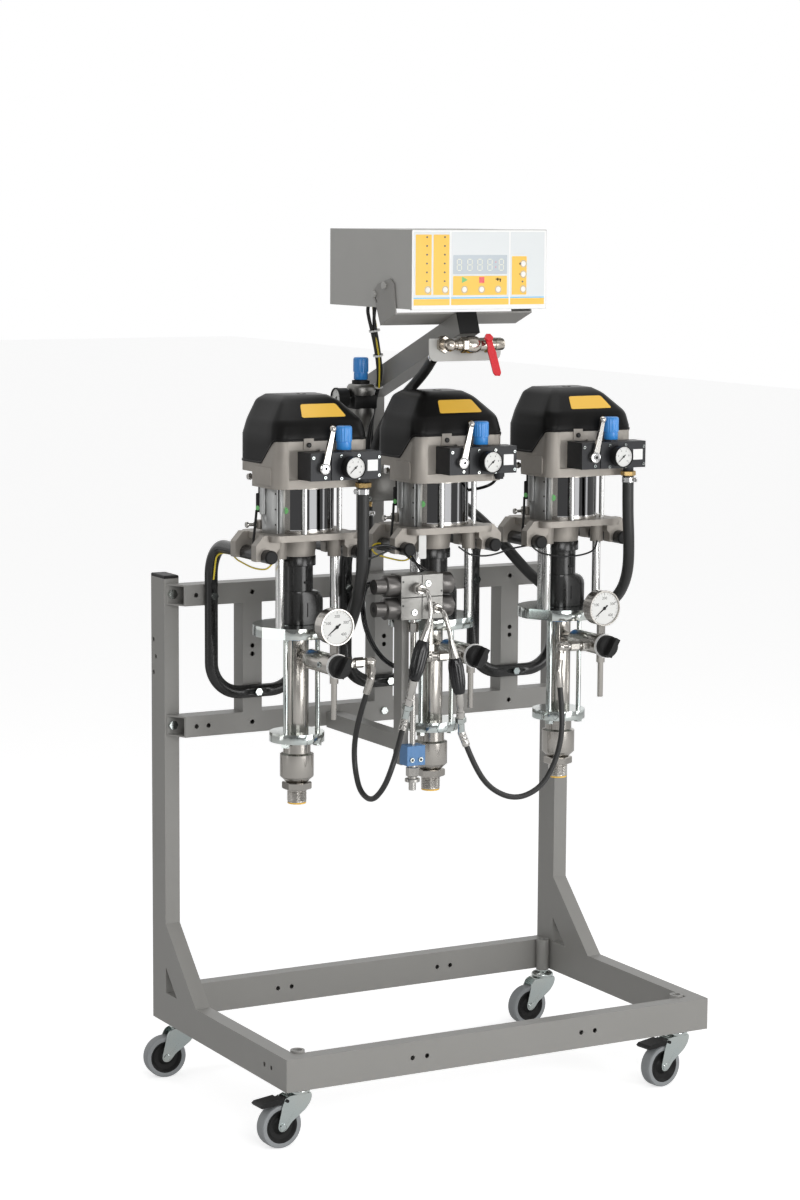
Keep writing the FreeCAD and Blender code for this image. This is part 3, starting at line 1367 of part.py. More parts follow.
def control_box():
    """Sheet case, front panel with its key holes, and the four clamping screws."""
    case = box(-box_half_x, box_half_x, box_front_y, box_rear_y, box_bottom_z, box_top_z)
    inside = box(box_wall - box_half_x, box_half_x - box_wall, box_front_y - 1,
                 box_rear_y - box_wall, box_bottom_z + box_wall, box_top_z - box_wall)
    case = case.cut(inside)
    edge = box_half_x + panel_proud
    panel = box(-edge, edge, box_front_y - panel_thick, box_front_y, box_bottom_z - panel_proud,
                box_top_z + panel_proud)
    panel = cut(panel, [rod(x, box_front_y - panel_thick - 1, z, key_hole, panel_thick + 2, Y_AXIS)
                        for _, x, z in panel_keys])
    slot_turn = math.radians(tilt_slot_start)
    places = [(tilt_y, tilt_z), (tilt_y + tilt_slot_radius * math.cos(slot_turn),
                                 tilt_z + tilt_slot_radius * math.sin(slot_turn))]
    screws = []
    holes = []
    ear_outer = edge + ear_gap + yoke_sheet
    for side in (-1, 1):
        for y, z in places:
            shank = rod(side * (box_half_x - 6), y, z, tilt_screw, ear_outer - box_half_x + 6.1,
                        V(side, 0, 0))
            head = rod(side * (ear_outer + 0.1), y, z, 6.5, 4.5, V(side, 0, 0))
            screws.append(join([shank, head]))
            holes.append(rod(side * (box_half_x - 5), y, z, tilt_screw, 8, V(side, 0, 0)))
    save("control_box", [cut(case, holes), panel] + screws)


def panel_key(x, z):
    """Round short-travel key in the front panel."""
    face = box_front_y - panel_thick - key_proud
    return turned([(0, 0), (key_radius, 0), (key_radius, key_long - 0.6),
                   (key_radius - 0.8, key_long), (0, key_long)], x, face + key_long, z, FRONT)


# Places of the keys on the panel: name, x, z
key_low_z = box_bottom_z + 35
panel_keys = (("key_mode_one", -108.0, key_low_z), ("key_mode_two", -72.0, key_low_z),
              ("key_start", -32.0, key_low_z), ("key_stop", 4.0, key_low_z),
              ("key_gun", 39.0, key_low_z), ("key_plus", 92.0, key_low_z + 46),
              ("key_minus", 92.0, key_low_z + 27), ("key_set", 92.0, key_low_z))

# Main inlet places
plate_y = arm_top_front_y
inlet_valve_y = plate_y - 24
inlet_valve_z = 1417.0
lever_stem_x = 25.0
main_regulator_x = -62.0
main_regulator_y = 172.0

# Routes of the feed tubes, (x, y, z)
feed_one_fitting = (-118.0, 976.0)
feed_one_bend = [(-119.0, -196.0, 975.0), (-117.0, -206.0, 945.0), (-121.0, -207.0, 922.0)]
feed_one_socket = (-134.0, -208.0, 887.0)
feed_one_grip_end = (-156.0, -212.0, 817.0)
feed_two_fitting = (-84.0, 939.0)
feed_two_bend = [(-85.0, -196.0, 937.0), (-80.0, -205.0, 908.0), (-76.0, -206.0, 887.0)]
feed_two_socket = (-69.0, -208.0, 852.0)
feed_two_grip_end = (-60.0, -212.0, 786.0)

# Routes of the hoses, (x, y, z)
hose_a_route = [(-217.0, -145.0, 788.0), (-224.0, -136.0, 752.0), (-219.0, -109.0, 712.0),
                (-213.0, -90.0, 672.0), (-212.0, -94.0, 635.0), (-217.0, -122.0, 602.0),
                (-220.0, -173.0, 593.0), (-218.0, -215.0, 625.0), (-208.0, -226.0, 662.0),
                (-191.0, -216.0, 694.0), (-170.0, -195.0, 724.0)]
hose_b_route = [(-36.0, -195.0, 688.0), (-17.0, -198.0, 641.0), (20.0, -194.0, 597.0),
                (76.0, -190.0, 573.0), (133.0, -183.0, 588.0), (168.0, -174.0, 627.0),
                (191.0, -162.0, 672.0), (201.0, -149.0, 720.0), (197.0, -145.0, 770.0)]
air_hose_left_route = [(-216.0, -128.0, 1167.5), (-216.0, -128.0, 1095.0), (-214.0, -124.0, 1028.0),
                       (-208.0, -98.0, 962.0), (-198.0, -52.0, 908.0), (-176.0, 12.0, 874.0),
                       (-140.0, 76.0, 876.0), (-99.0, 128.0, 908.0), (-60.0, 162.0, 960.0),
                       (-35.0, 188.0, 1022.0), (-28.0, 205.0, 1088.0)]
air_hose_right_route = [(48.0, 207.0, 1127.0), (105.0, 207.0, 1122.0), (158.0, 197.0, 1099.0),
                        (203.0, 178.0, 1063.0), (242.0, 160.0, 1020.0), (277.0, 146.0, 974.0),
                        (314.0, 130.0, 933.0), (350.0, 98.0, 904.0), (376.0, 48.0, 888.0),
                        (386.0, -10.0, 898.0), (384.0, -62.0, 928.0), (374.0, -103.0, 975.0),
                        (361.0, -124.0, 1036.0), (354.0, -128.0, 1102.0), (354.0, -128.0, 1167.5)]
main_hose_route = [(-43.0, -88.0, 1400.0), (-35.0, -55.0, 1385.0), (-25.0, -18.0, 1366.0),
                   (-17.0, 26.0, 1345.0), (-15.0, 84.0, 1312.0), (-16.0, 136.0, 1277.0),
                   (-19.0, 174.0, 1236.0), (-22.0, 194.0, 1188.0), (-24.0, 200.0, 1167.0)]


def hoses():
    """Free hoses, each along its own route."""
    save("hose_a", [route_tube(hose_a_route, hose_radius, "hose_a")])
    save("hose_b", [route_tube(hose_b_route, hose_radius, "hose_b")])
    save("air_hose_left", [route_tube(air_hose_left_route, air_hose_radius, "air_hose_left")])
    save("air_hose_right", [route_tube(air_hose_right_route, air_hose_radius, "air_hose_right")])
    save("air_hose_main", [route_tube(main_hose_route, main_hose_radius, "air_hose_main")])


def pumps():
    """The fixed pieces of the three pumps, one node for each kind of piece."""
    save("base_castings", [base_casting(x) for x in pump_places])
    motor_cylinders()
    save("motor_heads", [motor_head(x) for x in pump_places])
    save("motor_covers", [motor_cover(x) for x in pump_places])
    guards = [coupling_guard(x) for x in pump_places]
    save("coupling_guards", [piece for pair in guards for piece in pair])
    clamp_sets()
    save("fluid_cylinders", [fluid_cylinder(x) for x in pump_places])
    save("inlet_valves", [piece for x in pump_places for piece in inlet_valve(x)])
    relief_valves()
    pressure_gauges()
    air_control_blocks()


def moving_controls():
    """Rods, levers and knobs that move, one node each."""
    for name, x in zip(("left", "middle", "right"), pump_places):
        save("pump_rod_" + name, [pump_rod(x)])
        save("shutoff_lever_" + name, [shutoff_lever(x)])
        save("regulator_knob_" + name, [regulator_knob(x + knob_x, knob_y,
                                                       controls_z + controls_high + 3)])
        save("relief_knob_" + name, [relief_knob(x)])
    save("regulator_knob_main", [regulator_knob(main_regulator_x, main_regulator_y, 1338)])
    save("inlet_lever", [red_lever()])
    for name, x, z in panel_keys:
        save(name, [panel_key(x, z)])


os.makedirs("parts", exist_ok=True)
trolley_frame()
casters()
carrier_frame()
support_arms()
frame_bolts()
end_plugs()
save("bracket_tubes", [bracket_tube(x) for x in pump_places])
pumps()
mixing_blocks()
dosing_valves()
feed_lines()
pipe_clamp()
air_inlet_set()
control_box()
moving_controls()
hoses()
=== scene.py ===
# %% [markdown]
# A two-component dosing system: three air-driven piston pumps on a wheeled trolley, a
# mixing block in front of them and a control box on an arm above.
# The solids of the construction come in as a fixed frame. This lesson dresses them:
# first the camera, the hoses and the light, then the finishes, then each small piece.
# Points below are in millimetres about the trolley's middle, as on the drawing, and
# one helper turns them into the frame's metres.

# %% Load the frame
import math

import bmesh
import bpy
import numpy as np
from mathutils import Matrix, Vector


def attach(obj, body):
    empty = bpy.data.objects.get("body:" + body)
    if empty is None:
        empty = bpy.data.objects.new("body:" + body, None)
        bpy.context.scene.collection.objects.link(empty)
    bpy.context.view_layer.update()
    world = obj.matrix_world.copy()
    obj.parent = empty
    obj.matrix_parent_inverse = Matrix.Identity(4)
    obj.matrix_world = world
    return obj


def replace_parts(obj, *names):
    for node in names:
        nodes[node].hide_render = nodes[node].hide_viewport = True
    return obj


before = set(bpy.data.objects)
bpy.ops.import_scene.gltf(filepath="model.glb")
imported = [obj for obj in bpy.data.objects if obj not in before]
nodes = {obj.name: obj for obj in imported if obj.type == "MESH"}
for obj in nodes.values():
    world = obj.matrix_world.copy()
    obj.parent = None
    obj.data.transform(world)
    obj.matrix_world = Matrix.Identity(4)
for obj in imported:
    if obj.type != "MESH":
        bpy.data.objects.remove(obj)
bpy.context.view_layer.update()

ROW_SHIFT = np.array([21.2, 0.0, 0.0])
PUMPS = {"left": -285.0, "middle": 0.0, "right": 285.0}
PUMP_X = tuple(PUMPS.values())
RIGHT, BACK, UP = np.eye(3)
LEFT, FRONT = -RIGHT, -BACK


def metres(points):
    """Drawing millimetres to frame metres: add the row shift, then divide by 1000."""
    return (np.asarray(points, float) + ROW_SHIFT) / 1000


# %% [markdown]
# The photograph was taken from the left with a long lens, a little above the pumps.
# A camera needs a place and three directions. They are worked out from a yaw, a pitch
# and a small roll, which is easier to adjust by hand than a matrix.

# %% Camera
CAMERA_AT = (-2739.5, -4841.0, 1664.5)
YAW, PITCH, ROLL = 0.5042, 0.1314, 0.006
camera = bpy.data.objects.new("camera", bpy.data.cameras.new("camera"))
bpy.context.scene.collection.objects.link(camera)
look = np.array([math.sin(YAW) * math.cos(PITCH), math.cos(YAW) * math.cos(PITCH),
                 -math.sin(PITCH)])
flat_right = np.array([math.cos(YAW), -math.sin(YAW), 0.0])
flat_up = np.cross(flat_right, look)
right = math.cos(ROLL) * flat_right + math.sin(ROLL) * flat_up
up = math.cos(ROLL) * flat_up - math.sin(ROLL) * flat_right
turn = Matrix(np.column_stack([right, up, -look]).tolist())
camera.matrix_world = Matrix.Translation(Vector(metres(CAMERA_AT))) @ turn.to_4x4()
camera.data.lens = 89.1
camera.data.sensor_width = 36.0
camera.data.clip_end = 50.0
bpy.context.scene.camera = camera
print("camera at", [round(value, 3) for value in camera.location])

# %% [markdown]
# A hose is a curve: a NURBS spline whose control points are the route's points. Order 3
# keeps the line close to the route, and the end flag makes it start and end on it.
# The curve's length is measured from a copy with no thickness, so that a cord can say
# how long the real one is. The thickness is the bevel's depth times each point's radius.
# The depth is 1 and the radius is the real one, because a curve's box is worked out from
# its points and their radii.


# %% Hoses and cables
def line_of(name, points, radius, fineness):
    """Curve object: a NURBS line of order 3 through its end points, given a round section,
    and the length of its centre line in metres."""
    points = metres(points)
    data = bpy.data.curves.new(name, "CURVE")
    data.dimensions = "3D"
    spline = data.splines.new("NURBS")
    spline.points.add(len(points) - 1)
    spline.points.foreach_set("co", np.c_[points, np.ones(len(points))].ravel())
    spline.order_u = 3
    spline.use_endpoint_u = True
    spline.resolution_u = 10
    piece = bpy.data.objects.new(name, data)
    bpy.context.scene.collection.objects.link(piece)
    bpy.context.view_layer.update()
    bare = bpy.data.meshes.new_from_object(piece)
    line = np.zeros(len(bare.vertices) * 3)
    bare.vertices.foreach_get("co", line)
    spline.points.foreach_set("radius", np.full(len(points), radius / 1000))
    data.bevel_depth = 1.0
    data.bevel_resolution = fineness
    data.use_fill_caps = True
    return piece, float(np.linalg.norm(np.diff(line.reshape(-1, 3), axis=0), axis=1).sum())


def make_cord(name, route, radius, fineness):
    """Line attached to the trolley as a cord that both starts and ends at the object."""
    piece, length = line_of(name, route, radius, fineness)
    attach(piece, "trolley")
    print(name, round(length * 1000), "mm long,", radius * 2, "mm thick")
    return piece


HOSES = {
    "hose_a": (5.2, [
        (-217, -145, 788), (-224, -136, 752), (-219, -109, 712), (-213, -90, 672), (-212, -94, 635),
        (-217, -122, 602), (-220, -173, 593), (-218, -215, 625), (-208, -226, 662),
        (-191, -216, 694), (-170, -195, 724)]),
    "hose_b": (5.2, [
        (-36, -195, 688), (-17, -198, 641), (20, -194, 597), (76, -190, 573), (133, -183, 588),
        (168, -174, 627), (191, -162, 672), (201, -149, 720), (197, -145, 770)]),
    "air_hose_left": (10.8, [
        (-216, -128, 1167.5), (-216, -128, 1095), (-214, -124, 1028), (-208, -98, 962),
        (-198, -52, 908), (-176, 12, 874), (-140, 76, 876), (-99, 128, 908), (-60, 162, 960),
        (-35, 188, 1022), (-28, 205, 1088)]),
    "air_hose_right": (10.8, [
        (48, 207, 1127), (105, 207, 1122), (158, 197, 1099), (203, 178, 1063), (242, 160, 1020),
        (277, 146, 974), (314, 130, 933), (350, 98, 904), (376, 48, 888), (386, -10, 898),
        (384, -62, 928), (374, -103, 975), (361, -124, 1036), (354, -128, 1102),
        (354, -128, 1167.5)]),
    "air_hose_main": (9.8, [
        (-43, -88, 1400), (-35, -55, 1385), (-25, -18, 1366), (-17, 26, 1345), (-15, 84, 1312),
        (-16, 136, 1277), (-19, 174, 1236), (-22, 194, 1188), (-24, 200, 1167)]),
}
hose_pieces = []
for hose, (radius, route) in HOSES.items():
    hose_pieces.append(make_cord("scene_" + hose, route, radius, 5))
    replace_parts(hose_pieces[-1], hose)

# %% [markdown]
# A studio for a product picture is a white sweep with large soft lamps. Here the white
# is the colour of the floor and of the world as the camera sees it. The lamps stay low,
# so that a colour renders about as it is written. The world is a little darker towards
# the camera's side, because metal with only white to mirror looks like paper.


# %% Floor, world and lamps
def node_tree(owner):
    """Switch a material's or world's nodes on and clear them."""
    owner.use_nodes = True
    owner.node_tree.nodes.clear()
    return owner.node_tree


def add_node(tree, kind, values=(), **settings):
    """Node with its settings, and its inputs by name or place. A value that is another
    node's output is linked, and any other is written on the input."""
    node = tree.nodes.new(kind)
    for name, value in settings.items():
        setattr(node, name, value)
    for place, value in dict(values).items():
        if isinstance(value, bpy.types.NodeSocket):
            tree.links.new(value, node.inputs[place])
        else:
            node.inputs[place].default_value = value
    return node


def math_node(tree, operation, first, second):
    """Output of a node that combines two numbers."""
    return add_node(tree, "ShaderNodeMath", {0: first, 1: second},
        operation=operation).outputs["Value"]


def seen_rays(tree):
    """Rays node, and a value of 1 for rays that show the background straight or through glass."""
    rays = add_node(tree, "ShaderNodeLightPath").outputs
    return rays, math_node(tree, "MAXIMUM", rays["Is Camera Ray"], rays["Is Transmission Ray"])


world = bpy.data.worlds.new("studio")
bpy.context.scene.world = world
tree = node_tree(world)
rays, seen = seen_rays(tree)
TOWARDS_SCENE = (math.sin(YAW), math.cos(YAW), 0.35)
way = add_node(tree, "ShaderNodeTexCoord")
split = add_node(tree, "ShaderNodeVectorMath", {0: way.outputs["Generated"], 1: TOWARDS_SCENE},
                 operation="DOT_PRODUCT")
room = add_node(tree, "ShaderNodeMapRange", {
    "Value": split.outputs["Value"], "From Min": -0.9, "From Max": 0.5, "To Min": 0.16,
    "To Max": 1.0})
glossy = add_node(tree, "ShaderNodeMix", {
    "Factor": rays["Is Glossy Ray"], "A": 0.42, "B": room.outputs["Result"]})
light = add_node(tree, "ShaderNodeBackground", {
    "Color": (1, 1, 1, 1), "Strength": math_node(tree, "MAXIMUM", glossy.outputs["Result"], seen)})
add_node(tree, "ShaderNodeOutputWorld", {"Surface": light.outputs["Background"]})

floor_mesh = bpy.data.meshes.new("floor")
floor_mesh.from_pydata([(-14, -14, 0), (14, -14, 0), (14, 30, 0), (-14, 30, 0)], [], [(0, 1, 2, 3)])
floor = bpy.data.objects.new("floor", floor_mesh)
bpy.context.scene.collection.objects.link(floor)
paper = bpy.data.materials.new("floor_paper")
floor_mesh.materials.append(paper)
tree = node_tree(paper)
rays, seen = seen_rays(tree)
mirrored = math_node(tree, "MULTIPLY", rays["Is Glossy Ray"], 0.2)
glow = math_node(tree, "MULTIPLY", math_node(tree, "MAXIMUM", seen, mirrored), 0.6)
bsdf = add_node(tree, "ShaderNodeBsdfPrincipled", {
    "Base Color": (0.8, 0.8, 0.8, 1), "Roughness": 0.9, "Specular IOR Level": 0.1,
    "Emission Color": (1, 1, 1, 1), "Emission Strength": glow})
add_node(tree, "ShaderNodeOutputMaterial", {"Surface": bsdf.outputs["BSDF"]})

LAMPS = {
    "key": ((-0.9, -3.3, 1.7), 34.0, (1.6, 1.2)),
    "front": ((1.25, -3.4, 0.95), 40.0, (1.6, 1.7)),
    "fill": ((3.0, -1.6, 1.9), 14.0, (0.5, 2.6)),
    "strip": ((-3.1, 0.2, 1.3), 5.0, (0.35, 2.4)),
    "top": ((0.3, 0.4, 4.2), 20.0, (2.6, 1.6)),
}
LAMPS_AIM = Vector((0.02, -0.05, 1.0))
for name, (place, power, size) in LAMPS.items():
    lamp = bpy.data.lights.new("lamp_" + name, "AREA")
    lamp.shape = "RECTANGLE"
    lamp.energy = power
    lamp.size, lamp.size_y = size
    holder = bpy.data.objects.new("lamp_" + name, lamp)
    bpy.context.scene.collection.objects.link(holder)
    facing = (LAMPS_AIM - Vector(place)).to_track_quat("-Z", "Y").to_matrix().to_4x4()
    holder.matrix_world = Matrix.Translation(place) @ facing
    print("lamp", name, power, "W")
bpy.context.scene.view_settings.view_transform = "Standard"

# %% [markdown]
# Every finish shares one effect: a grain whose size can differ along X, Y and Z. With
# equal sizes it is the orange peel of paint or the skin of a casting. Stretched along
# one axis it is the fine lines of brushed or turned metal. It is a shader node group,
# so that each material places it with its own values.


# %% Grain group
def grain_group():
    """Noise on object coordinates multiplied by a stretch; puts out its value."""
    group = bpy.data.node_groups.new("grain", "ShaderNodeTree")
    group.interface.new_socket("Stretch", in_out="INPUT", socket_type="NodeSocketVector")
    group.interface.new_socket("Detail", in_out="INPUT", socket_type="NodeSocketFloat")
    group.interface.new_socket("Value", in_out="OUTPUT", socket_type="NodeSocketFloat")
    inside = add_node(group, "NodeGroupInput").outputs
    place = add_node(group, "ShaderNodeTexCoord").outputs["Object"]
    scaled = add_node(group, "ShaderNodeVectorMath", {0: place, 1: inside["Stretch"]},
        operation="MULTIPLY")
    noise = add_node(group, "ShaderNodeTexNoise", {
        "Vector": scaled.outputs["Vector"], "Scale": 1.0, "Detail": inside["Detail"]})
    add_node(group, "NodeGroupOutput", {"Value": noise.outputs["Fac"]})
    return group


GRAIN = grain_group()

# %% [markdown]
# A finish is a Principled shader. A broad grain mixes two close tints and moves the
# roughness between two values, because no real surface is even. A fine grain gives the
# relief. Each finish is kept by its name with the slot of the library that it fills.


# %% One builder for all finishes
FINISHES = {}


def finish(name, slot, tint, shade, metallic, rough, broad=9, fine=700,
           relief=0.1, depth=0.0002, coat=0.0, shine=0.5):
    """Principled material. rough is (smooth value, rough value); broad and fine are the two
    grains' stretches, as one number or as three."""
    made = bpy.data.materials.new(name)
    tree = node_tree(made)
    patches, grain = (add_node(tree, "ShaderNodeGroup", {
        "Stretch": np.broadcast_to(stretch, 3), "Detail": detail}, node_tree=GRAIN).outputs["Value"]
        for stretch, detail in ((broad, 3.0), (fine, 2.0)))
    even = add_node(tree, "ShaderNodeMapRange", {"Value": patches, "From Min": 0.3,
        "From Max": 0.7})
    colour = add_node(tree, "ShaderNodeMix", {
        "Factor": even.outputs["Result"], "A": (*tint, 1), "B": (*shade, 1)}, data_type="RGBA")
    dull = add_node(tree, "ShaderNodeMapRange", {
        "Value": grain, "From Min": 0.3, "From Max": 0.7, "To Min": rough[0], "To Max": rough[1]})
    bump = add_node(tree, "ShaderNodeBump", {"Strength": relief, "Distance": depth,
        "Height": grain})
    bsdf = add_node(tree, "ShaderNodeBsdfPrincipled", {
        "Base Color": colour.outputs["Result"], "Roughness": dull.outputs["Result"],
        "Metallic": metallic, "Normal": bump.outputs["Normal"], "Coat Weight": coat,
        "Coat Roughness": 0.08, "Specular IOR Level": shine})
    add_node(tree, "ShaderNodeOutputMaterial", {"Surface": bsdf.outputs["BSDF"]})
    FINISHES[name] = (made, slot)


# %% [markdown]
# The finishes of this machine. The trolley is warm grey paint, the pumps' castings are
# shot-blasted aluminium, and the plates are zinc with its faint blue and yellow. Turned
# steel has rings across its axis, so its fine grain is stretched along Z only.

# %% Finishes
finish("grey_paint", "grey_paint", (0.262, 0.257, 0.243), (0.272, 0.266, 0.252), 0.0, (0.36, 0.46),
    fine=900, relief=0.12)
finish("black_paint", "black_paint", (0.009, 0.009, 0.009), (0.013, 0.013, 0.013), 0.0,
    (0.24, 0.32), coat=0.2, shine=0.4)
finish("cast_skin", "cast_aluminium", (0.36, 0.333, 0.3), (0.285, 0.264, 0.238), 0.5, (0.42, 0.56),
    broad=14, fine=1400, relief=0.55, depth=0.0003)
finish("hood_black", "black_plastic", (0.008, 0.0078, 0.0076), (0.0095, 0.0092, 0.009), 0.0,
    (0.3, 0.36), fine=1500, relief=0.15, shine=0.1)
finish("guard_black", "black_plastic", (0.012, 0.0118, 0.0115), (0.015, 0.0148, 0.0145), 0.0,
    (0.2, 0.28), relief=0.05)
finish("moulded_black", "black_plastic", (0.011, 0.011, 0.011), (0.016, 0.016, 0.016), 0.0,
    (0.4, 0.52), fine=1200, relief=0.2, shine=0.2)
finish("block_black", "black_paint", (0.024, 0.025, 0.027), (0.03, 0.031, 0.034), 0.3, (0.36, 0.46),
    fine=1200, relief=0.2, shine=0.35)
finish("wrap_black", "black_rubber", (0.006, 0.006, 0.007), (0.008, 0.008, 0.009), 0.0,
    (0.16, 0.24), relief=0.02)
finish("film_black", "black_plastic", (0.10, 0.10, 0.102), (0.105, 0.105, 0.108), 1.0, (0.04, 0.06),
    relief=0.0)
finish("rubber_black", "black_rubber", (0.02, 0.02, 0.0195), (0.027, 0.027, 0.0265), 0.0,
    (0.34, 0.44), fine=600, relief=0.25, shine=0.4)
finish("zinc_plate", "zinc", (0.5, 0.56, 0.56), (0.57, 0.59, 0.56), 1.0, (0.13, 0.17), broad=12,
    relief=0.0)
finish("steel_turned", "stainless", (0.41, 0.39, 0.362), (0.45, 0.43, 0.4), 1.0, (0.2, 0.25),
    broad=(4, 4, 30), fine=(8, 8, 1800), relief=0.0)
finish("steel_plain", "stainless", (0.45, 0.43, 0.4), (0.49, 0.47, 0.44), 1.0, (0.2, 0.26),
    relief=0.0)
finish("steel_bright", "stainless", (0.5, 0.485, 0.46), (0.55, 0.535, 0.51), 1.0, (0.18, 0.22),
    relief=0.0)
finish("rod_bright", "stainless", (0.72, 0.72, 0.71), (0.76, 0.76, 0.75), 1.0, (0.24, 0.28),
    relief=0.0)
finish("chrome_bright", "chrome", (0.7, 0.7, 0.7), (0.76, 0.76, 0.76), 1.0, (0.08, 0.12),
    relief=0.0)
finish("nickel_warm", "chrome", (0.5, 0.455, 0.395), (0.56, 0.515, 0.455), 1.0, (0.18, 0.26),
    relief=0.0)
finish("brass_plain", "chrome", (0.6, 0.42, 0.18), (0.54, 0.37, 0.15), 1.0, (0.22, 0.3), relief=0.0)
finish("aluminium_brushed", "bright_aluminium", (0.22, 0.216, 0.205), (0.25, 0.246, 0.235), 1.0,
    (0.34, 0.46), fine=(60, 60, 1600), relief=0.25)
finish("aluminium_grey", "cast_aluminium", (0.42, 0.425, 0.42), (0.48, 0.485, 0.48), 0.9,
    (0.32, 0.44), fine=(1400, 1400, 30), relief=0.22)
finish("actuator_skin", "black_paint", (0.13, 0.125, 0.12), (0.17, 0.162, 0.155), 0.9, (0.28, 0.4),
    fine=(1500, 20, 20), relief=0.25)
finish("blue_moulded", "blue_plastic", (0.035, 0.255, 0.68), (0.045, 0.28, 0.72), 0.0, (0.26, 0.34),
    relief=0.12, coat=0.3)
finish("red_dip", "red_plastic", (0.66, 0.008, 0.018), (0.72, 0.012, 0.024), 0.0, (0.22, 0.3),
    coat=0.4)
finish("clamp_blue", "blue_plastic", (0.07, 0.2, 0.42), (0.085, 0.22, 0.45), 0.0, (0.3, 0.4),
    relief=0.12)
finish("dial_white", "white_plastic", (0.7, 0.7, 0.68), (0.73, 0.73, 0.71), 0.0, (0.3, 0.4),
    relief=0.02)
finish("white_plain", "white_plastic", (0.86, 0.86, 0.85), (0.82, 0.82, 0.81), 0.0, (0.34, 0.44),
    relief=0.06)
finish("tag_pale", "white_plastic", (0.62, 0.62, 0.6), (0.7, 0.7, 0.68), 0.0, (0.12, 0.2),
    relief=0.1)
finish("panel_grey", "white_plastic", (0.70, 0.73, 0.735), (0.715, 0.74, 0.745), 0.0, (0.3, 0.36),
    relief=0.04)
finish("panel_yellow", "white_plastic", (0.9, 0.53, 0.06), (0.92, 0.56, 0.075), 0.0, (0.3, 0.38),
    relief=0.04)
finish("panel_blue", "blue_plastic", (0.16, 0.5, 0.76), (0.18, 0.52, 0.78), 0.0, (0.3, 0.38),
    relief=0.04)
finish("case_grey", "light_grey_paint", (0.41, 0.407, 0.388), (0.425, 0.42, 0.402), 0.0, (0.4, 0.5),
    fine=900, relief=0.2)
finish("display_grey", "white_plastic", (0.44, 0.49, 0.53), (0.46, 0.51, 0.55), 0.0, (0.18, 0.24),
    relief=0.02)
finish("digit_cream", "white_plastic", (0.76, 0.76, 0.62), (0.78, 0.78, 0.64), 0.0, (0.3, 0.38),
    relief=0.02)
finish("lamp_dark", "black_plastic", (0.06, 0.08, 0.1), (0.07, 0.09, 0.11), 0.0, (0.12, 0.2),
    relief=0.02)
finish("mark_green", "white_plastic", (0.16, 0.5, 0.16), (0.18, 0.53, 0.18), 0.0, (0.3, 0.38),
    relief=0.02)
finish("tyre_grey", "grey_rubber", (0.25, 0.262, 0.27), (0.28, 0.292, 0.3), 0.0, (0.5, 0.62),
    relief=0.25)
finish("wire_yellow", "black_rubber", (0.75, 0.58, 0.03), (0.8, 0.62, 0.05), 0.0, (0.34, 0.44),
    relief=0.05)
print(len(FINISHES), "finishes")

# %% [markdown]
# The solids whose shape is right keep it and only get a finish. Their faces are loose
# triangles, so each gets a Weld, which joins doubled points, and a small Bevel, because
# an edge that catches no light looks cut from paper. The frames are flat plates with
# many holes, so there a Decimate first makes one face of the triangles in a plane.

# %% Finishes and soft edges on the solids
DRESS = {
    "trolley_frame": ("grey_paint", 0.9), "carrier_frame": ("grey_paint", 0.9),
    "support_arms": ("grey_paint", 0.7), "frame_bolts": ("zinc_plate", 0.4),
    "end_plugs": ("moulded_black", 0.8), "bracket_tubes": ("black_paint", 0),
    "base_castings": ("cast_skin", 0.9), "motor_heads": ("cast_skin", 0.9),
    "clamp_sets": ("zinc_plate", 0.5), "fluid_cylinders": ("steel_turned", 0.3),
    "relief_valves": ("steel_plain", 0.4), "air_control_blocks": ("block_black", 0.5),
    "mixing_block": ("aluminium_brushed", 0.3), "dosing_valves": ("actuator_skin", 0.6),
    "pipe_clamp": ("clamp_blue", 0.6), "control_box": ("case_grey", 0.5),
    "inlet_lever": ("red_dip", 0.4), "pump_rod_": ("steel_turned", 0),
    "shutoff_lever_": ("steel_bright", 0.4, "chrome"), "relief_knob_": ("moulded_black", 0.8),
    "key_": ("white_plain", 0.3), "brake_pedal_": ("moulded_black", 0.8),
}
for node, solid in nodes.items():
    found = [start for start in DRESS
             if node == start or start[-1] == "_" and node.startswith(start)]
    if not found:
        continue
    name, edge, *other = DRESS[found[0]]
    material, slot = FINISHES[name]
    solid.data.materials.clear()
    solid.data.materials.append(material)
    weld = solid.modifiers.new("weld", "WELD")
    weld.merge_threshold = 0.00002
    if node in ("trolley_frame", "carrier_frame"):
        flat = solid.modifiers.new("flat", "DECIMATE")
        flat.decimate_type = "DISSOLVE"
        flat.angle_limit = math.radians(0.4)
    if edge:
        bevel = solid.modifiers.new("bevel", "BEVEL")
        bevel.width = edge / 1000
        bevel.segments = 2
        bevel.limit_method = "ANGLE"
        bevel.angle_limit = math.radians(40)
        bevel.harden_normals = True
    print(node, name)

# %% [markdown]
# New pieces are grids of points. Neighbouring points make quads, the columns close on
# themselves, and each end of the rows runs to a single point, so every piece is a closed
# skin. Two shapes cover most of them: a profile turned about an axis, and an outline
# carried along an axis with its edges drawn in at both ends.


# %% Shape helpers
def unit(vector):
    """The same direction with a length of 1."""
    return np.asarray(vector, float) / np.linalg.norm(vector)


def heading(degrees):
    """Level direction (cos a, sin a, 0)."""
    return np.array([math.cos(math.radians(degrees)), math.sin(math.radians(degrees)), 0])


def square_to(axis):
    """Unit axis and two directions square to it and to each other."""
    aim = unit(axis)
    side = np.cross(UP, aim) if abs(aim[2]) < 0.9 else RIGHT
    side = unit(side - aim * (side @ aim))
    return aim, side, np.cross(aim, side)


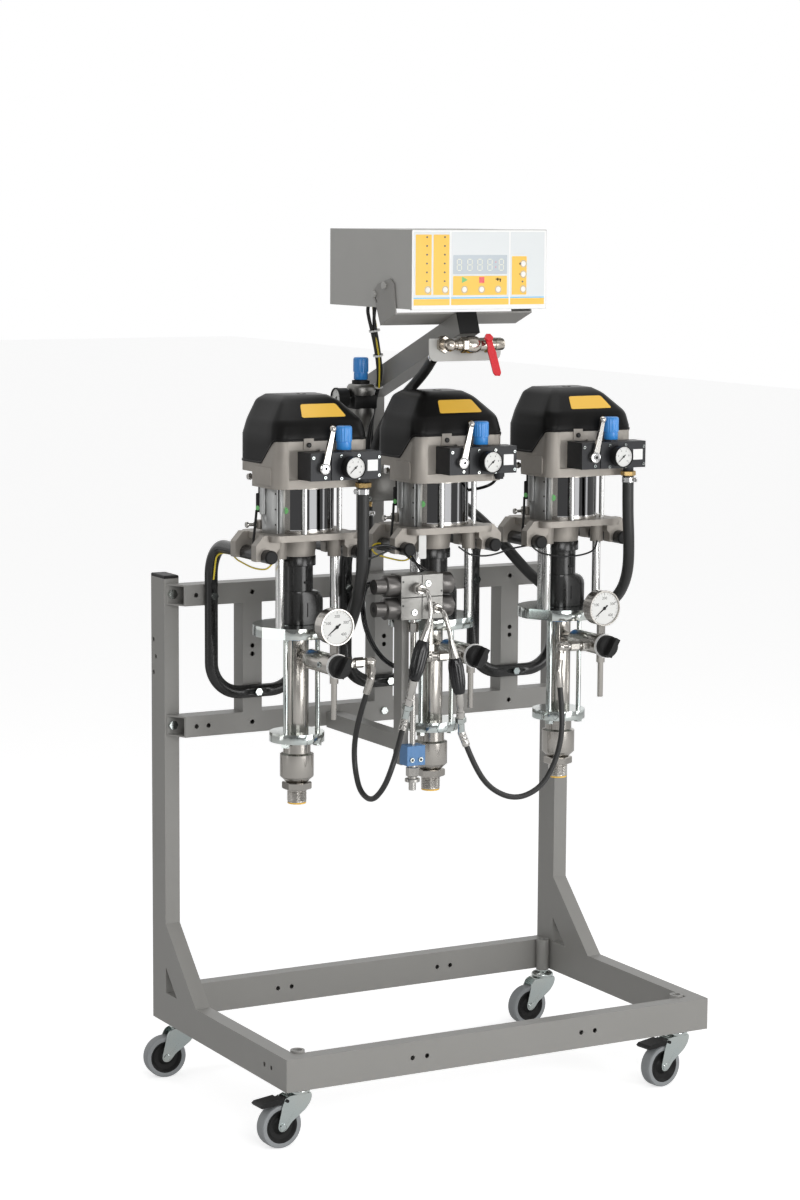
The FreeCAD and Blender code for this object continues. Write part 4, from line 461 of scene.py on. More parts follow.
def turned(profile, centre, axis=UP, around=48):
    """Point = centre + height * axis + radius * (cos a * side + sin a * other side)."""
    profile = np.asarray(profile, float)
    aim, side, other = square_to(axis)
    angle = np.linspace(0, 2 * np.pi, around, endpoint=False)[:, None]
    ring = np.cos(angle) * side + np.sin(angle) * other
    radius, height = profile[:, 0, None, None], profile[:, 1, None, None]
    return np.asarray(centre, float) + height * aim + radius * ring


def disc(radius, foot, top, centre, axis=UP, around=48):
    """Plain cylinder between two heights along the axis."""
    return turned([(0, foot), (radius, foot), (radius, top), (0, top)], centre, axis, around)


def rounded(width, height, corner, steps=5):
    """Rectangle outline with quarter circles of one radius at its corners."""
    quarter = np.linspace(0, np.pi / 2, steps)
    parts = []
    for k, (x, y) in enumerate(((1, 1), (-1, 1), (-1, -1), (1, -1))):
        angle = quarter + k * np.pi / 2
        parts.append(np.c_[x * (width / 2 - corner) + corner * np.cos(angle),
                           y * (height / 2 - corner) + corner * np.sin(angle)])
    return np.concatenate(parts)


def ngon(flats, sides=6):
    """Outline of a regular polygon measured across its flats."""
    angle = (np.arange(sides) + 0.5) * 2 * np.pi / sides
    return flats / 2 / math.cos(math.pi / sides) * np.c_[np.cos(angle), np.sin(angle)]


def carried(outline, centre, axis, length, edge=0.3, side=None):
    """Outline moved along an axis; the first and last rows are drawn in by the edge."""
    aim, across, other = square_to(axis)
    if side is not None:
        across = np.asarray(side, float)
        other = np.cross(aim, across)
    outline = np.asarray(outline, float)
    reach = np.linalg.norm(outline, axis=1).max()
    size = np.array([0, 1 - edge / reach, 1, 1, 1 - edge / reach, 0])
    height = np.array([0, 0, edge, length - edge, length, length])
    flat = outline[:, :1] * across + outline[:, 1:] * other
    return np.asarray(centre, float) + height[:, None, None] * aim + size[:, None, None] * flat


def block(low, high, edge=0.4):
    """Box between two corners with its upper and lower edges drawn in."""
    low, high = np.asarray(low, float), np.asarray(high, float)
    size = high - low
    foot = (low + high) / 2 * (1, 1, 0) + low * (0, 0, 1)
    return carried(rounded(size[0], size[1], min(edge, size[0] / 3, size[1] / 3), 3), foot, UP,
                   size[2], min(edge, size[2] / 3), RIGHT)


def corner_cut(points, passes=3):
    """Smooth line: each pass puts points at a quarter and three quarters of every run."""
    points = np.asarray(points, float)
    for _ in range(passes):
        start, end = points[:-1], points[1:]
        mixed = np.stack([0.75 * start + 0.25 * end, 0.25 * start + 0.75 * end], 1).reshape(-1, 3)
        points = np.concatenate([points[:1], mixed, points[-1:]])
    return points


def swept(points, radius, around=20, step=2.0):
    """Round section carried along a line, square to its direction. The line's points are
    first spread at equal distances along it, because crowded points make rings cross."""
    points = np.asarray(points, float)
    run = np.concatenate([[0], np.cumsum(np.linalg.norm(np.diff(points, axis=0), axis=1))])
    at = np.linspace(0, run[-1], int(run[-1] / step) + 2)
    points = np.stack([np.interp(at, run, points[:, k]) for k in range(3)], 1)
    along = np.gradient(points, axis=0)
    along /= np.linalg.norm(along, axis=1)[:, None]
    spread = points.max(0) - points.min(0)
    least = np.eye(3)[int(np.argmin(spread))]
    side = np.cross(along, least)
    side /= np.linalg.norm(side, axis=1)[:, None]
    other = np.cross(along, side)
    angle = np.linspace(0, 2 * np.pi, around, endpoint=False)[None, :, None]
    ring = np.cos(angle) * side[:, None] + np.sin(angle) * other[:, None]
    radius = np.broadcast_to(np.asarray(radius, float), len(points))[:, None, None]
    tube = points[:, None] + radius * ring
    ends = [np.repeat(points[k][None, None], around, 1) for k in (0, -1)]
    return np.concatenate([ends[0], tube, ends[1]])


def thread(centre, axis, radius, length, pitch, depth, around=36):
    """Screw thread: radius + depth * triangle wave of (height / pitch - turn)."""
    rows = int(length / pitch * 8) + 1
    height = np.linspace(0, length, rows)[:, None]
    turn = np.linspace(0, 1, around, endpoint=False)[None]
    wave = 1 - 2 * np.abs((height / pitch - turn) % 1.0 - 0.5)
    fade = np.clip(np.minimum(height, length - height) / pitch, 0, 1)
    size = radius - depth + depth * wave * fade
    aim, side, other = square_to(axis)
    angle = 2 * np.pi * turn[..., None]
    body = np.asarray(centre, float) + height[..., None] * aim \
        + size[..., None] * (np.cos(angle) * side + np.sin(angle) * other)
    ends = [np.tile(np.asarray(centre, float) + h * aim, (1, around, 1)) for h in (0, length)]
    return np.concatenate([ends[0], body, ends[1]])


def make_piece(name, grids, finish_name, body="trolley", sharp=35):
    """One mesh of quads from closed grids, merged at their poles, turned outwards."""
    material, usual_slot = FINISHES[finish_name]
    corners, quads, count = [], [], 0
    for grid in grids:
        rows, columns = grid.shape[:2]
        index = count + np.arange(rows * columns).reshape(rows, columns)
        beside = np.roll(index, -1, axis=1)
        quads.append(np.stack([index[:-1], beside[:-1], beside[1:], index[1:]], -1).reshape(-1, 4))
        corners.append(grid.reshape(-1, 3))
        count += rows * columns
    mesh = bpy.data.meshes.new(name)
    mesh.from_pydata(metres(np.concatenate(corners)).tolist(), [], np.concatenate(quads).tolist())
    work = bmesh.new()
    work.from_mesh(mesh)
    bmesh.ops.remove_doubles(work, verts=work.verts, dist=2e-6)
    bmesh.ops.recalc_face_normals(work, faces=work.faces)
    work.to_mesh(mesh)
    work.free()
    mesh.shade_smooth()
    mesh.set_sharp_from_angle(angle=math.radians(sharp))
    mesh.materials.append(material)
    piece = bpy.data.objects.new(name, mesh)
    bpy.context.scene.collection.objects.link(piece)
    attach(piece, body)
    print(name, len(mesh.polygons), "faces")
    return piece


# %% [markdown]
# The hoses get their rubber. Where a hose meets a fitting, a worm-drive clamp holds it:
# a thin band with a small housing and a slotted screw beside it. The screw's slot is
# painted shade, a thin dark plate.

# %% Hose finish and clamps
for piece in hose_pieces:
    piece.data.materials.append(FINISHES["rubber_black"][0])


def hose_clamp(centre, axis, radius, side):
    """Band of a raised ring profile, with the screw's housing and screw at one side."""
    band = turned([(radius, -4.5), (radius + 0.9, -4.5), (radius + 0.9, 4.5), (radius, 4.5),
                   (radius, -4.5)], centre, axis, 48)
    aim, across, other = square_to(axis)
    out = math.cos(side) * across + math.sin(side) * other
    along = np.cross(aim, out)
    middle = np.asarray(centre, float) + out * (radius + 3.4)
    house = carried(rounded(8.5, 5.6, 1.6, 4), middle - along * 5, along, 10, 0.5, aim)
    screw = turned([(0, 0), (3.1, 0), (3.4, 0.6), (3.4, 5.5), (2.9, 6.3), (0, 6.3)],
        middle + along * 5, along, 20)
    # Painted shade: the slot's cut is a thin dark plate on the screw's end.
    slot = carried(rounded(5.6, 0.9, 0.2, 2), middle + along * 11.35, along, 0.15, 0.03, aim)
    return [band, house, screw], slot


clamp_steel, clamp_slot_shade = [], []
for start, end, radius, side in (
        ((-216, -128, 1160), (-216, -128, 1150), 10.9, 3.6),
        ((354, -128, 1160), (354, -128, 1150), 10.9, 0.6),
        ((-28, 204.4, 1084), (-30.5, 200, 1066), 10.9, 1.4),
        ((52, 207, 1126.6), (62, 207, 1125.8), 10.9, 2.0),
        ((-24, 199.2, 1170), (-22.7, 196.5, 1180), 9.9, 0.4),
        ((-40, -77, 1395.6), (-37.5, -66, 1390), 9.9, 2.4)):
    steel, slot = hose_clamp((np.array(start) + end) / 2, np.array(end, float) - start, radius,
        side)
    clamp_steel += steel
    clamp_slot_shade.append(slot)
make_piece("hose_clamps", clamp_steel, "chrome_bright")
# The slots' painted shade, in dark plastic.
make_piece("hose_clamp_slot_shade", clamp_slot_shade, "moulded_black")

# %% [markdown]
# A pressure gauge is a case, a white dial a little below the rim, printed marks and a
# needle. The marks run over three quarters of a turn. Long ones carry numbers, which
# are text turned into a mesh. The three small gauges sit on the air regulators, the
# two large ones on the relief valves of the outer pumps, and one faces left.


# %% Gauge parts
def flat_text(words, size):
    """Corner points and faces of a piece of text, centred, in a unit plane of two numbers."""
    data = bpy.data.curves.new("number", "FONT")
    data.body, data.size = words, size
    data.align_x, data.align_y = "CENTER", "CENTER"
    holder = bpy.data.objects.new("number", data)
    bpy.context.scene.collection.objects.link(holder)
    bpy.context.view_layer.update()
    made = bpy.data.meshes.new_from_object(holder)
    co = np.zeros(len(made.vertices) * 3)
    made.vertices.foreach_get("co", co)
    faces = [tuple(face.vertices) for face in made.polygons]
    bpy.data.objects.remove(holder)
    return co.reshape(-1, 3)[:, :2], faces


def dial_marks(name, centre, axis, side, radius, numbers):
    """Ticks at equal angles, small and large, and numbers inside the large ones."""
    aim = np.asarray(axis, float)
    across = np.asarray(side, float)
    other = np.cross(aim, across)
    corners, faces = [], []

    def add(flat, polygons):
        base = len(corners)
        place = np.asarray(centre, float) + aim * 0.12
        corners.extend((place + flat[:, :1] * across + flat[:, 1:] * other).tolist())
        faces.extend([tuple(base + k for k in polygon) for polygon in polygons])

    steps = 5 * (len(numbers) - 1)
    for k in range(steps + 1):
        angle = math.radians(225 - 270 * k / steps)
        out = np.array([math.cos(angle), math.sin(angle)])
        beside = np.array([-math.sin(angle), math.cos(angle)])
        inner, half = (0.8, 0.013) if k % 5 == 0 else (0.87, 0.007)
        add(radius * np.array([out * inner - beside * half, out * 0.95 - beside * half,
            out * 0.95 + beside * half, out * inner + beside * half]), [(0, 1, 2, 3)])
        if k % 5 == 0:
            flat, polygons = flat_text(numbers[k // 5], radius * 0.24)
            add(flat + out * radius * 0.63, polygons)
    mesh = bpy.data.meshes.new(name)
    mesh.from_pydata(metres(corners).tolist(), [], faces)
    mesh.materials.append(FINISHES["moulded_black"][0])
    piece = bpy.data.objects.new(name, mesh)
    bpy.context.scene.collection.objects.link(piece)
    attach(piece, "trolley")


def needle(centre, axis, side, radius, angle):
    """Flat pointer: a long thin kite with a short tail, on a round hub."""
    aim, across = np.asarray(axis, float), np.asarray(side, float)
    other = np.cross(aim, across)
    out = math.cos(angle) * across + math.sin(angle) * other
    kite = np.array([(-0.28, -0.045), (-0.28, 0.045), (0.0, 0.05), (0.78, 0.012), (0.78, -0.012),
        (0.0, -0.05)])
    foot = np.asarray(centre, float) + aim * 0.5
    return [carried(kite * radius, foot, aim, 0.4, 0.1, out),
            turned([(0, 0), (radius * 0.11, 0), (radius * 0.1, 0.9), (0, 0.9)], foot, aim, 24)]


def gauge(name, centre, axis, side, radius, deep, rim, numbers, case_finish, angle):
    """Case with its rim, the dial, its marks and the needle; centre is the case's back."""
    front = np.asarray(centre, float) + np.asarray(axis, float) * deep
    case = [(0, 0), (radius - 2.5, 0), (radius - 1, 1.2), (radius - 1, deep - 5.5),
        (radius, deep - 5), (radius, deep - 1), (radius - 0.8, deep), (radius - rim + 0.6, deep),
        (radius - rim, deep - 0.7), (radius - rim, deep - 3), (0, deep - 3)]
    dial_at = front - np.asarray(axis, float) * 3
    make_piece(name + "_case", [turned(case, centre, axis, 72)], case_finish)
    dial = disc(radius - rim - 0.1, -0.2, 0.1, dial_at, axis, 64)
    make_piece(name + "_dial", [dial], "dial_white")
    dial_marks(name + "_marks", dial_at, axis, side, radius - rim, numbers)
    make_piece(name + "_needle", needle(dial_at, axis, side, radius - rim, angle), "moulded_black")


for side, x in PUMPS.items():
    gauge("air_gauge_" + side, (x + 30, -154, 1203), FRONT, RIGHT, 20.3, 20, 1.6,
          ["0", "2", "4", "6", "8", "10"], "moulded_black", math.radians(222))
for side in ("left", "right"):
    gauge("material_gauge_" + side, (PUMPS[side], -134, 916), FRONT, RIGHT, 34, 28, 3.4,
          ["0", "100", "200", "300", "400"], "steel_plain", math.radians(218))
gauge("inlet_gauge", (-93.5, 172, 1304), LEFT, FRONT, 20, 24, 2.6,
      ["0", "4", "8", "12", "16"], "moulded_black", math.radians(225))
stems = [carried(ngon(14), (PUMPS[side], -148, 863), UP, 26, 0.6) for side in ("left", "right")]
stems += [disc(6, 0, 4.2, (x + 30, -150, 1203), FRONT) for x in PUMP_X]
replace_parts(make_piece("gauge_stems", stems, "steel_plain"), "pressure_gauges")

# %% [markdown]
# Screws appear everywhere on this machine. A head is a turned profile with a soft rim,
# and its hexagon socket is painted shade: a thin dark prism on top. All heads of one
# finish share one mesh, because a mesh with many small parts is quicker to draw than
# many objects.


# %% Screw heads
screw_steel, socket_shade, screw_dark = [], [], []


def cap_screw(centre, axis, radius, height, steel=screw_steel):
    """Round head of a turned profile and the dark hexagon of its socket."""
    steel.append(turned([(0, 0), (radius, 0), (radius, height - 0.4), (radius - 0.4, height),
        (0, height)], centre, axis, 24))
    top = np.asarray(centre, float) + square_to(axis)[0] * (height - 0.05)
    # Painted shade: the socket's recess is drawn as a thin dark hexagon on the head.
    socket_shade.append(carried(ngon(radius * 1.05), top, axis, 0.2, 0.05))


for x in PUMP_X:
    for px, pz in ((-43.8, 1221.4), (-19.9, 1185.5), (12.5, 1223), (47.5, 1223), (12.5, 1183),
            (47.5, 1183)):
        cap_screw((x + px, -150.2, pz), FRONT, 3.0, 1.6)
    for pz in (1186, 1219):
        cap_screw((x + 90.5, -147.2, pz), FRONT, 2.8, 1.4)
    cap_screw((x - 31.5, -108.2, 1241), FRONT, 4.6, 2.2, screw_dark)
print(len(screw_steel), "heads on the air controls")

# %% [markdown]
# Each hood carries a yellow plate on its sloping front. The plate is a trapezium with
# round corners. A round corner is a Bezier arc: it starts and ends a little away from
# the corner, and the corner itself pulls it.


# %% Hood plates
def soft_polygon(corners, radius, steps=6):
    """Each corner c becomes (1-t)^2 a + 2t(1-t) c + t^2 b, where a and b are the points of
    its two edges that are a radius away."""
    corners = np.asarray(corners, float)
    before, after = np.roll(corners, 1, 0) - corners, np.roll(corners, -1, 0) - corners
    a = corners + radius * before / np.linalg.norm(before, axis=1)[:, None]
    b = corners + radius * after / np.linalg.norm(after, axis=1)[:, None]
    t = np.linspace(0, 1, steps)[None, :, None]
    arcs = (1 - t) ** 2 * a[:, None] + 2 * t * (1 - t) * corners[:, None] + t ** 2 * b[:, None]
    return arcs.reshape(-1, 2)


def plate(corners, radius, centre, axis, side, thick=0.7, sunk=0.3):
    """Thin plate with round corners that sinks a little into the surface behind it."""
    aim = square_to(axis)[0]
    return carried(soft_polygon(corners, radius), np.asarray(centre, float) - aim * sunk, aim,
                   thick + sunk, 0.2, side)


HOOD_SLOPE = np.array([0, -35, 41]) / math.hypot(35, 41)
hood_plates = [plate([(-45, -17), (45, -17), (35.5, 17), (-35.5, 17)], 5, (x + 7.5, -79.5, 1300.4),
                     HOOD_SLOPE, RIGHT) for x in PUMP_X]
make_piece("hood_plates", hood_plates, "panel_yellow")
tags = [plate([(-10.6, -10), (10.6, -10), (10.6, 10), (-10.6, 10)], 1, (x + 77.6, -147, 1204.2),
    FRONT, RIGHT) for x in PUMP_X]
make_piece("outlet_tags", tags, "white_plain")

# %% [markdown]
# A regulator's knob is ribbed for the fingers. Its skin is a turned profile whose radius
# is multiplied by a wave of the angle, but only on the rows between the collar and the
# top's soft edge. It rides on the knob's body, so it turns with it.


# %% Regulator knobs
def fluted(profile, centre, axis, flutes, depth, around=96):
    """Turned profile of (radius, height, share) rows: radius - share * depth * wave, and the
    wave is the positive part of a cosine of flutes * angle."""
    profile = np.asarray(profile, float)
    aim, side, other = square_to(axis)
    angle = np.linspace(0, 2 * np.pi, around, endpoint=False)[None]
    wave = np.clip(np.cos(flutes * angle), 0, 1) ** 0.6
    radius = profile[:, :1] - profile[:, 2:] * depth * wave
    ring = np.cos(angle)[..., None] * side + np.sin(angle)[..., None] * other
    return np.asarray(centre, float) + profile[:, 1, None, None] * aim + radius[..., None] * ring


KNOB = [(0, 0.3, 0), (13.2, 0.3, 0), (13.6, 0.7, 0), (13.6, 13.2, 0), (13.0, 13.6, 0),
    (13.0, 14.4, 0), (14.2, 14.8, 0), (14.6, 15.4, 1), (14.6, 38.5, 1), (13.9, 41.2, 0.8),
    (11.9, 42.8, 0), (0, 43.1, 0)]
knob_places = {side: (x + 30, -126, 1232.5) for side, x in PUMPS.items()}
knob_places["main"] = (-62, 172, 1338)
for side, place in knob_places.items():
    body = "regulator_knob_" + side
    knob = make_piece("ribbed_knob_" + side, [fluted(KNOB, place, UP, 18, 1.0)], "blue_moulded",
        body, 50)
    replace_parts(knob, body)

# %% [markdown]
# The shut-off levers have a domed cap with a hexagon screw on their hub; the screw's
# socket is a thin dark hexagon of painted shade. Both ride on the lever.

# %% Lever hubs
for side, x in PUMPS.items():
    hub = (x - 24.5, -160.2, 1202.5)
    cap = [turned([(0, 0), (9.8, 0), (9.6, 0.6), (7.4, 1.2), (6.2, 1.3), (6.2, 2.6), (5.6, 3.1),
        (0, 3.1)], hub, FRONT, 48)]
    make_piece("lever_cap_" + side, cap, "chrome_bright", "shutoff_lever_" + side)
    # Painted shade: the socket's recess as a thin dark hexagon.
    socket = [carried(ngon(5.5), np.array(hub) + FRONT * 3.05, FRONT, 0.2, 0.05)]
    make_piece("lever_socket_shade_" + side, socket, "moulded_black", "shutoff_lever_" + side)

# %% [markdown]
# The air motor's cylinder carries a glossy black wrap with bare metal above and below.
# The wrap is a thin bar bent round the cylinder: a section of (radius, height) points
# swept through an angle, with both ends closed.


# %% Motor wraps and extrusions
def arc_bar(section, centre, start, end, steps=60):
    """Point = centre + radius * (cos a, sin a) + height up, for angles from start to end."""
    section = np.asarray(section, float)
    middle = np.tile(section.mean(0), (len(section), 1))
    angle = np.radians(np.linspace(start, end, steps))[:, None, None]
    rows = np.concatenate([[middle], np.tile(section, (steps, 1, 1)), [middle]])
    angle = np.concatenate([angle[:1], angle, angle[-1:]])
    flat = np.cos(angle) * RIGHT + np.sin(angle) * BACK
    return np.asarray(centre, float) + rows[..., :1] * flat + rows[..., 1:] * UP


wraps = [arc_bar([(66.5, 1083), (67.3, 1083), (67.3, 1160.5), (66.5, 1160.5)], (x, 0, 0), -128, 75)
         for x in PUMP_X]
make_piece("motor_wraps", wraps, "film_black")
rings = [arc_bar([(66.5, 1081.4), (67.6, 1081.4), (67.6, 1083), (66.5, 1083)], (x, 0, 0), -128, 75)
         for x in PUMP_X]
make_piece("motor_wrap_edges", rings, "chrome_bright")

# %% [markdown]
# The motor itself is made anew, so that its rods and its cylinder are smooth. On its
# left it carries an aluminium extrusion, turned half towards the front, and a black
# sensor strip behind it. Everything here is a profile turned or carried upwards.

# %% Air motors
AWAY = heading(-155)
ALONG = np.array([-AWAY[1], AWAY[0], 0])
GREEN_DOT_WAY = heading(-136)
MOTOR_FOOT, MOTOR_TOP = 1076.1, 1161.9


def bar(x, inner, outer, first, last, low, high, edge=0.6):
    """Upright bar between two radii and two tangential places, looking along AWAY."""
    middle = np.array([x, 0, low]) + AWAY * (inner + outer) / 2 + ALONG * (first + last) / 2
    return carried(rounded(outer - inner, last - first, 1.2, 3), middle, UP, high - low, edge, AWAY)


barrels, motor_rods, side_bars, strips, dots = [], [], [], [], []
for x in PUMP_X:
    barrels.append(turned([(55, MOTOR_FOOT), (68.4, MOTOR_FOOT), (68.4, 1081), (66.8, 1082),
        (66.8, 1156), (68.4, 1157), (68.4, MOTOR_TOP), (55, MOTOR_TOP), (55, MOTOR_FOOT)],
        (x, 0, 0), UP, 128))
    for rod_x, rod_y in ((64, -44), (-22, -74), (60, 44)):
        motor_rods.append(disc(5, MOTOR_FOOT, MOTOR_TOP, (x + rod_x, rod_y, 0), UP, 40))
    side_bars += [bar(x, 64, 79, -10, 16, 1076.2, 1161.8), bar(x, 66, 82, -23, -11, 1110, 1161.8),
                  bar(x, 60, 76, 18, 22, 1076.2, 1161.8), bar(x, 62, 74, -24, -9, 1076.2, 1110)]
    strips.append(bar(x, 70, 78, -35, -25, 1113, 1148, 1.5))
    strips.append(bar(x, 68, 75, -32, -24, 1142, 1161.8, 1.5))
    for height in (1093, 1121, 1149):
        cap_screw(np.array([x, 0, height]) + AWAY * 79 + ALONG * 12.5, AWAY, 1.7, 0.7, screw_dark)
    dots.append(disc(4.4, 0, 0.4, np.array([x, 0, 1121]) + AWAY * 77.9 - ALONG * 30, AWAY, 28))
    dots.append(disc(6.2, 0, 0.5, np.array([x, 0, 1118]) + GREEN_DOT_WAY * 66.6, GREEN_DOT_WAY, 32))
barrel = make_piece("motor_barrels", barrels, "steel_turned")
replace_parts(barrel, "motor_cylinders")
make_piece("motor_rods", motor_rods, "rod_bright")
make_piece("motor_side_bars", side_bars, "aluminium_grey")
make_piece("sensor_strips", strips, "moulded_black")
make_piece("motor_dots", dots, "mark_green")

# %% [markdown]
# The head casting has a flat pad on its left side, and two screws with nuts stick out
# of the motor there. A brass hexagon joins each air hose to its control block.

# %% Casting pads, side screws and brass nuts
pads, side_screws, brass = [], [], []
for x in PUMP_X:
    pads.append(carried(rounded(62, 34, 5), (x - 90, -54, 1184), LEFT, 6.6, 1.4, BACK))
    pads.append(carried(rounded(22, 16, 3), (x - 60, 12, 1089), LEFT, 17, 1.2, BACK))
    for px, py, pz, stud in ((-86, 14, 1177, 4.5), (-77, 12, 1089, 18)):
        side_screws.append(turned([(0, 0), (3, 0), (3, stud), (5.6, stud), (5.6, stud + 3),
            (5, stud + 3.8), (0, stud + 3.8)], (x + px, py, pz), LEFT, 28))
        side_screws.append(carried(ngon(11), (x + px - 0.5, py, pz), LEFT, 4.2, 0.7))
for px in (-216, 354):
    brass.append(carried(ngon(25), (px, -128, 1162.5), UP, 9.5, 1.2))
    brass.append(disc(9.8, 1160, 1178, (px, -128, 0), UP, 40))
make_piece("casting_pads", pads, "cast_skin")
make_piece("side_screws", side_screws, "steel_bright")
make_piece("brass_nuts", brass, "brass_plain")

# %% [markdown]
# Below the motor each pump has its fluid end: polished cylinder, foot valve with a real
# screw thread, a yellow seal ring, and a blue packing ring under the upper plate.

# %% Threads and rings
threads = [thread((x, 0, 569), UP, 18.45, 24, 3.2, 1.1) for x in PUMP_X]
fluid_ends = []
for x in PUMP_X:
    centre = (x, 0, 0)
    fluid_ends.append(turned([(0, 593), (19.4, 593), (19.4, 607), (20.4, 607.6), (31.1, 617.5),
        (31.5, 618.4), (31.5, 659.4), (30.9, 660), (26.2, 661.6), (25.5, 662.4), (25.5, 684),
        (0, 684)], centre, UP, 96))
    fluid_ends.append(carried(ngon(48), (x, 0, 593), UP, 14, 1.6))
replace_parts(make_piece("foot_valves", fluid_ends, "steel_turned"), "inlet_valves")
make_piece("foot_threads", threads, "steel_plain", sharp=60)
seals = [turned([(11, 566), (16.8, 566), (17.5, 566.6), (17.5, 568.6), (16.8, 569.2), (11, 569.2),
    (11, 566)], (x, 0, 0)) for x in PUMP_X]
make_piece("seal_rings", seals, "panel_yellow")
collars = [turned([(21.7, 874), (23.2, 874), (23.6, 874.4), (23.6, 883), (21.7, 883), (21.7, 874)],
    (x, 0, 0)) for x in PUMP_X]
make_piece("packing_rings", collars, "blue_moulded")

# %% [markdown]
# The relief valve sits on the cylinder's front. A white ring and a black wing knob close
# it, and a bleed screw is in its side. The knob keeps the shape of its solid.

# %% Relief valve details
white_rings = [turned([(6.5, -0.1), (22.1, -0.1), (22.6, 0.4), (22.6, 4.6), (22.1, 5.1), (6.5, 5.1),
    (6.5, -0.1)], (x, -160, 845), FRONT, 64) for x in PUMP_X]
make_piece("relief_rings", white_rings, "white_plain")
for x in PUMP_X:
    cap_screw((x - 18.6, -128, 845), LEFT, 5.4, 3.4)

# %% [markdown]
# The hood is one moulded skin. Its outline is a rectangle with round corners that gets
# smaller from level to level, and the levels' corners are rounded too, so no edge of the
# moulding is sharp. The lower edge isn't level: it is high in front and low behind, so
# the lowest rows take their height from a line over Y. A lip runs along that edge.


# %% Hood skin
def soft_rows(rows, reach, steps=5):
    """Level rows with each inner corner replaced by the Bezier arc of soft_polygon."""
    rows = np.asarray(rows, float)
    t = np.linspace(0, 1, steps)[:, None]
    made = [rows[:1]]
    for before, here, after in zip(rows, rows[1:], rows[2:]):
        back, on = before - here, after - here
        a = here + back * min(reach / np.linalg.norm(back[:4]), 0.48)
        b = here + on * min(reach / np.linalg.norm(on[:4]), 0.48)
        made.append((1 - t) ** 2 * a + 2 * t * (1 - t) * here + t ** 2 * b)
    return np.concatenate(made + [rows[-1:]])


def hood_grid(x, steps=9, straight=5):
    """For each level (z, half, front, rear, corner, spread): a rounded rectangle whose rear
    corners are larger by 5 and whose width grows by the spread towards the rear."""
    levels = soft_rows([(1256, 95, -106, 57, 25, 0), (1266, 93, -104.5, 55, 26, 0),
                        (1282, 90, -101, 52, 27, 0), (1317, 57, -60, 48, 13, 12),
                        (1326, 43, -40, 39, 9, 10)], 9)
    z, half, front, rear, corner, spread = (column[:, None] for column in levels.T)
    quarter = np.linspace(0, np.pi / 2, steps)[None]
    parts = []
    for sx, sy, edge, size, first in ((1, 1, rear, corner + 5, 0), (-1, 1, rear, corner + 5, 1),
                                      (-1, -1, front, corner, 2), (1, -1, front, corner, 3)):
        turn = quarter + first * np.pi / 2
        parts.append(np.stack([sx * (half - size) + size * np.cos(turn),
                               edge - sy * size + size * np.sin(turn)], -1))
    runs = []
    for part, follow in zip(parts, parts[1:] + parts[:1]):
        share = np.linspace(0, 1, straight + 2)[1:-1][None, :, None]
        runs += [part, part[:, -1:] * (1 - share) + follow[:, :1] * share]
    plan = np.concatenate(runs, 1)
    across = plan[..., 0] * (1 + spread * (plan[..., 1] - front) / (rear - front) / half)
    top = np.stack([x + across, plan[..., 1], np.broadcast_to(z, across.shape)], -1)
    foot = top[0]
    edge_z = np.interp(foot[:, 1], [-92, -44], [1248, 1205])
    out = foot[:, :2] - (x, -25)
    out = out / np.linalg.norm(out, axis=1)[:, None]

    def ring(offset, up):
        return np.c_[foot[:, :2] + out * offset, edge_z + up]

    lower = [ring(-4, 0), ring(1.2, 0), ring(1.5, 0.4), ring(1.5, 3.4), ring(1.1, 3.9),
        ring(0, 4.1)]
    lower += [np.c_[foot[:, :2], edge_z + 4.1 + (1256 - edge_z - 4.1) * share]
              for share in (0.3, 0.6)]
    poles = [np.tile(point, (1, len(foot), 1)) for point in ((x, -25, 1205.0), (x, -4, 1326.4))]
    return np.concatenate([poles[0], np.stack(lower), top, poles[1]])


hoods = make_piece("hood_skins", [hood_grid(x) for x in PUMP_X], "hood_black", sharp=50)
plugs = [turned([(0, 1325), (8.6, 1325), (8.6, 1326.6), (8.2, 1327), (0, 1327)], (x + 6, -4, 0))
         for x in PUMP_X]
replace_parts(hoods, "motor_covers")
make_piece("hood_plugs", plugs, "moulded_black")
make_piece("hood_plug_screws", [turned([(0, 1326.9), (3.4, 1326.9), (3.1, 1327.2), (0, 1327.2)],
    (x + 6, -4, 0)) for x in PUMP_X], "steel_plain")

# %% [markdown]
# The coupling's guard is moulded in black plastic: a collar under the casting, a tube
# with a clip in front, and a cup with a lobe at its right. Each row of the cup is a
# circle stretched to the right by its own amount, which falls away at the shoulder.

# %% Coupling guards
def cup(x, rows, around=72):
    """Point = (radius * cos a + lobe if cos a > 0, radius * sin a) for rows (z, radius, lobe)."""
    z, radius, lobe = (column[:, None] for column in np.asarray(rows, float).T)
    angle = np.linspace(0, 2 * np.pi, around, endpoint=False)[None]
    east = np.clip(np.cos(angle) * 3, 0, 1)
    return np.stack([x + radius * np.cos(angle) + lobe * east, radius * np.sin(angle),
        z + 0 * angle], -1)


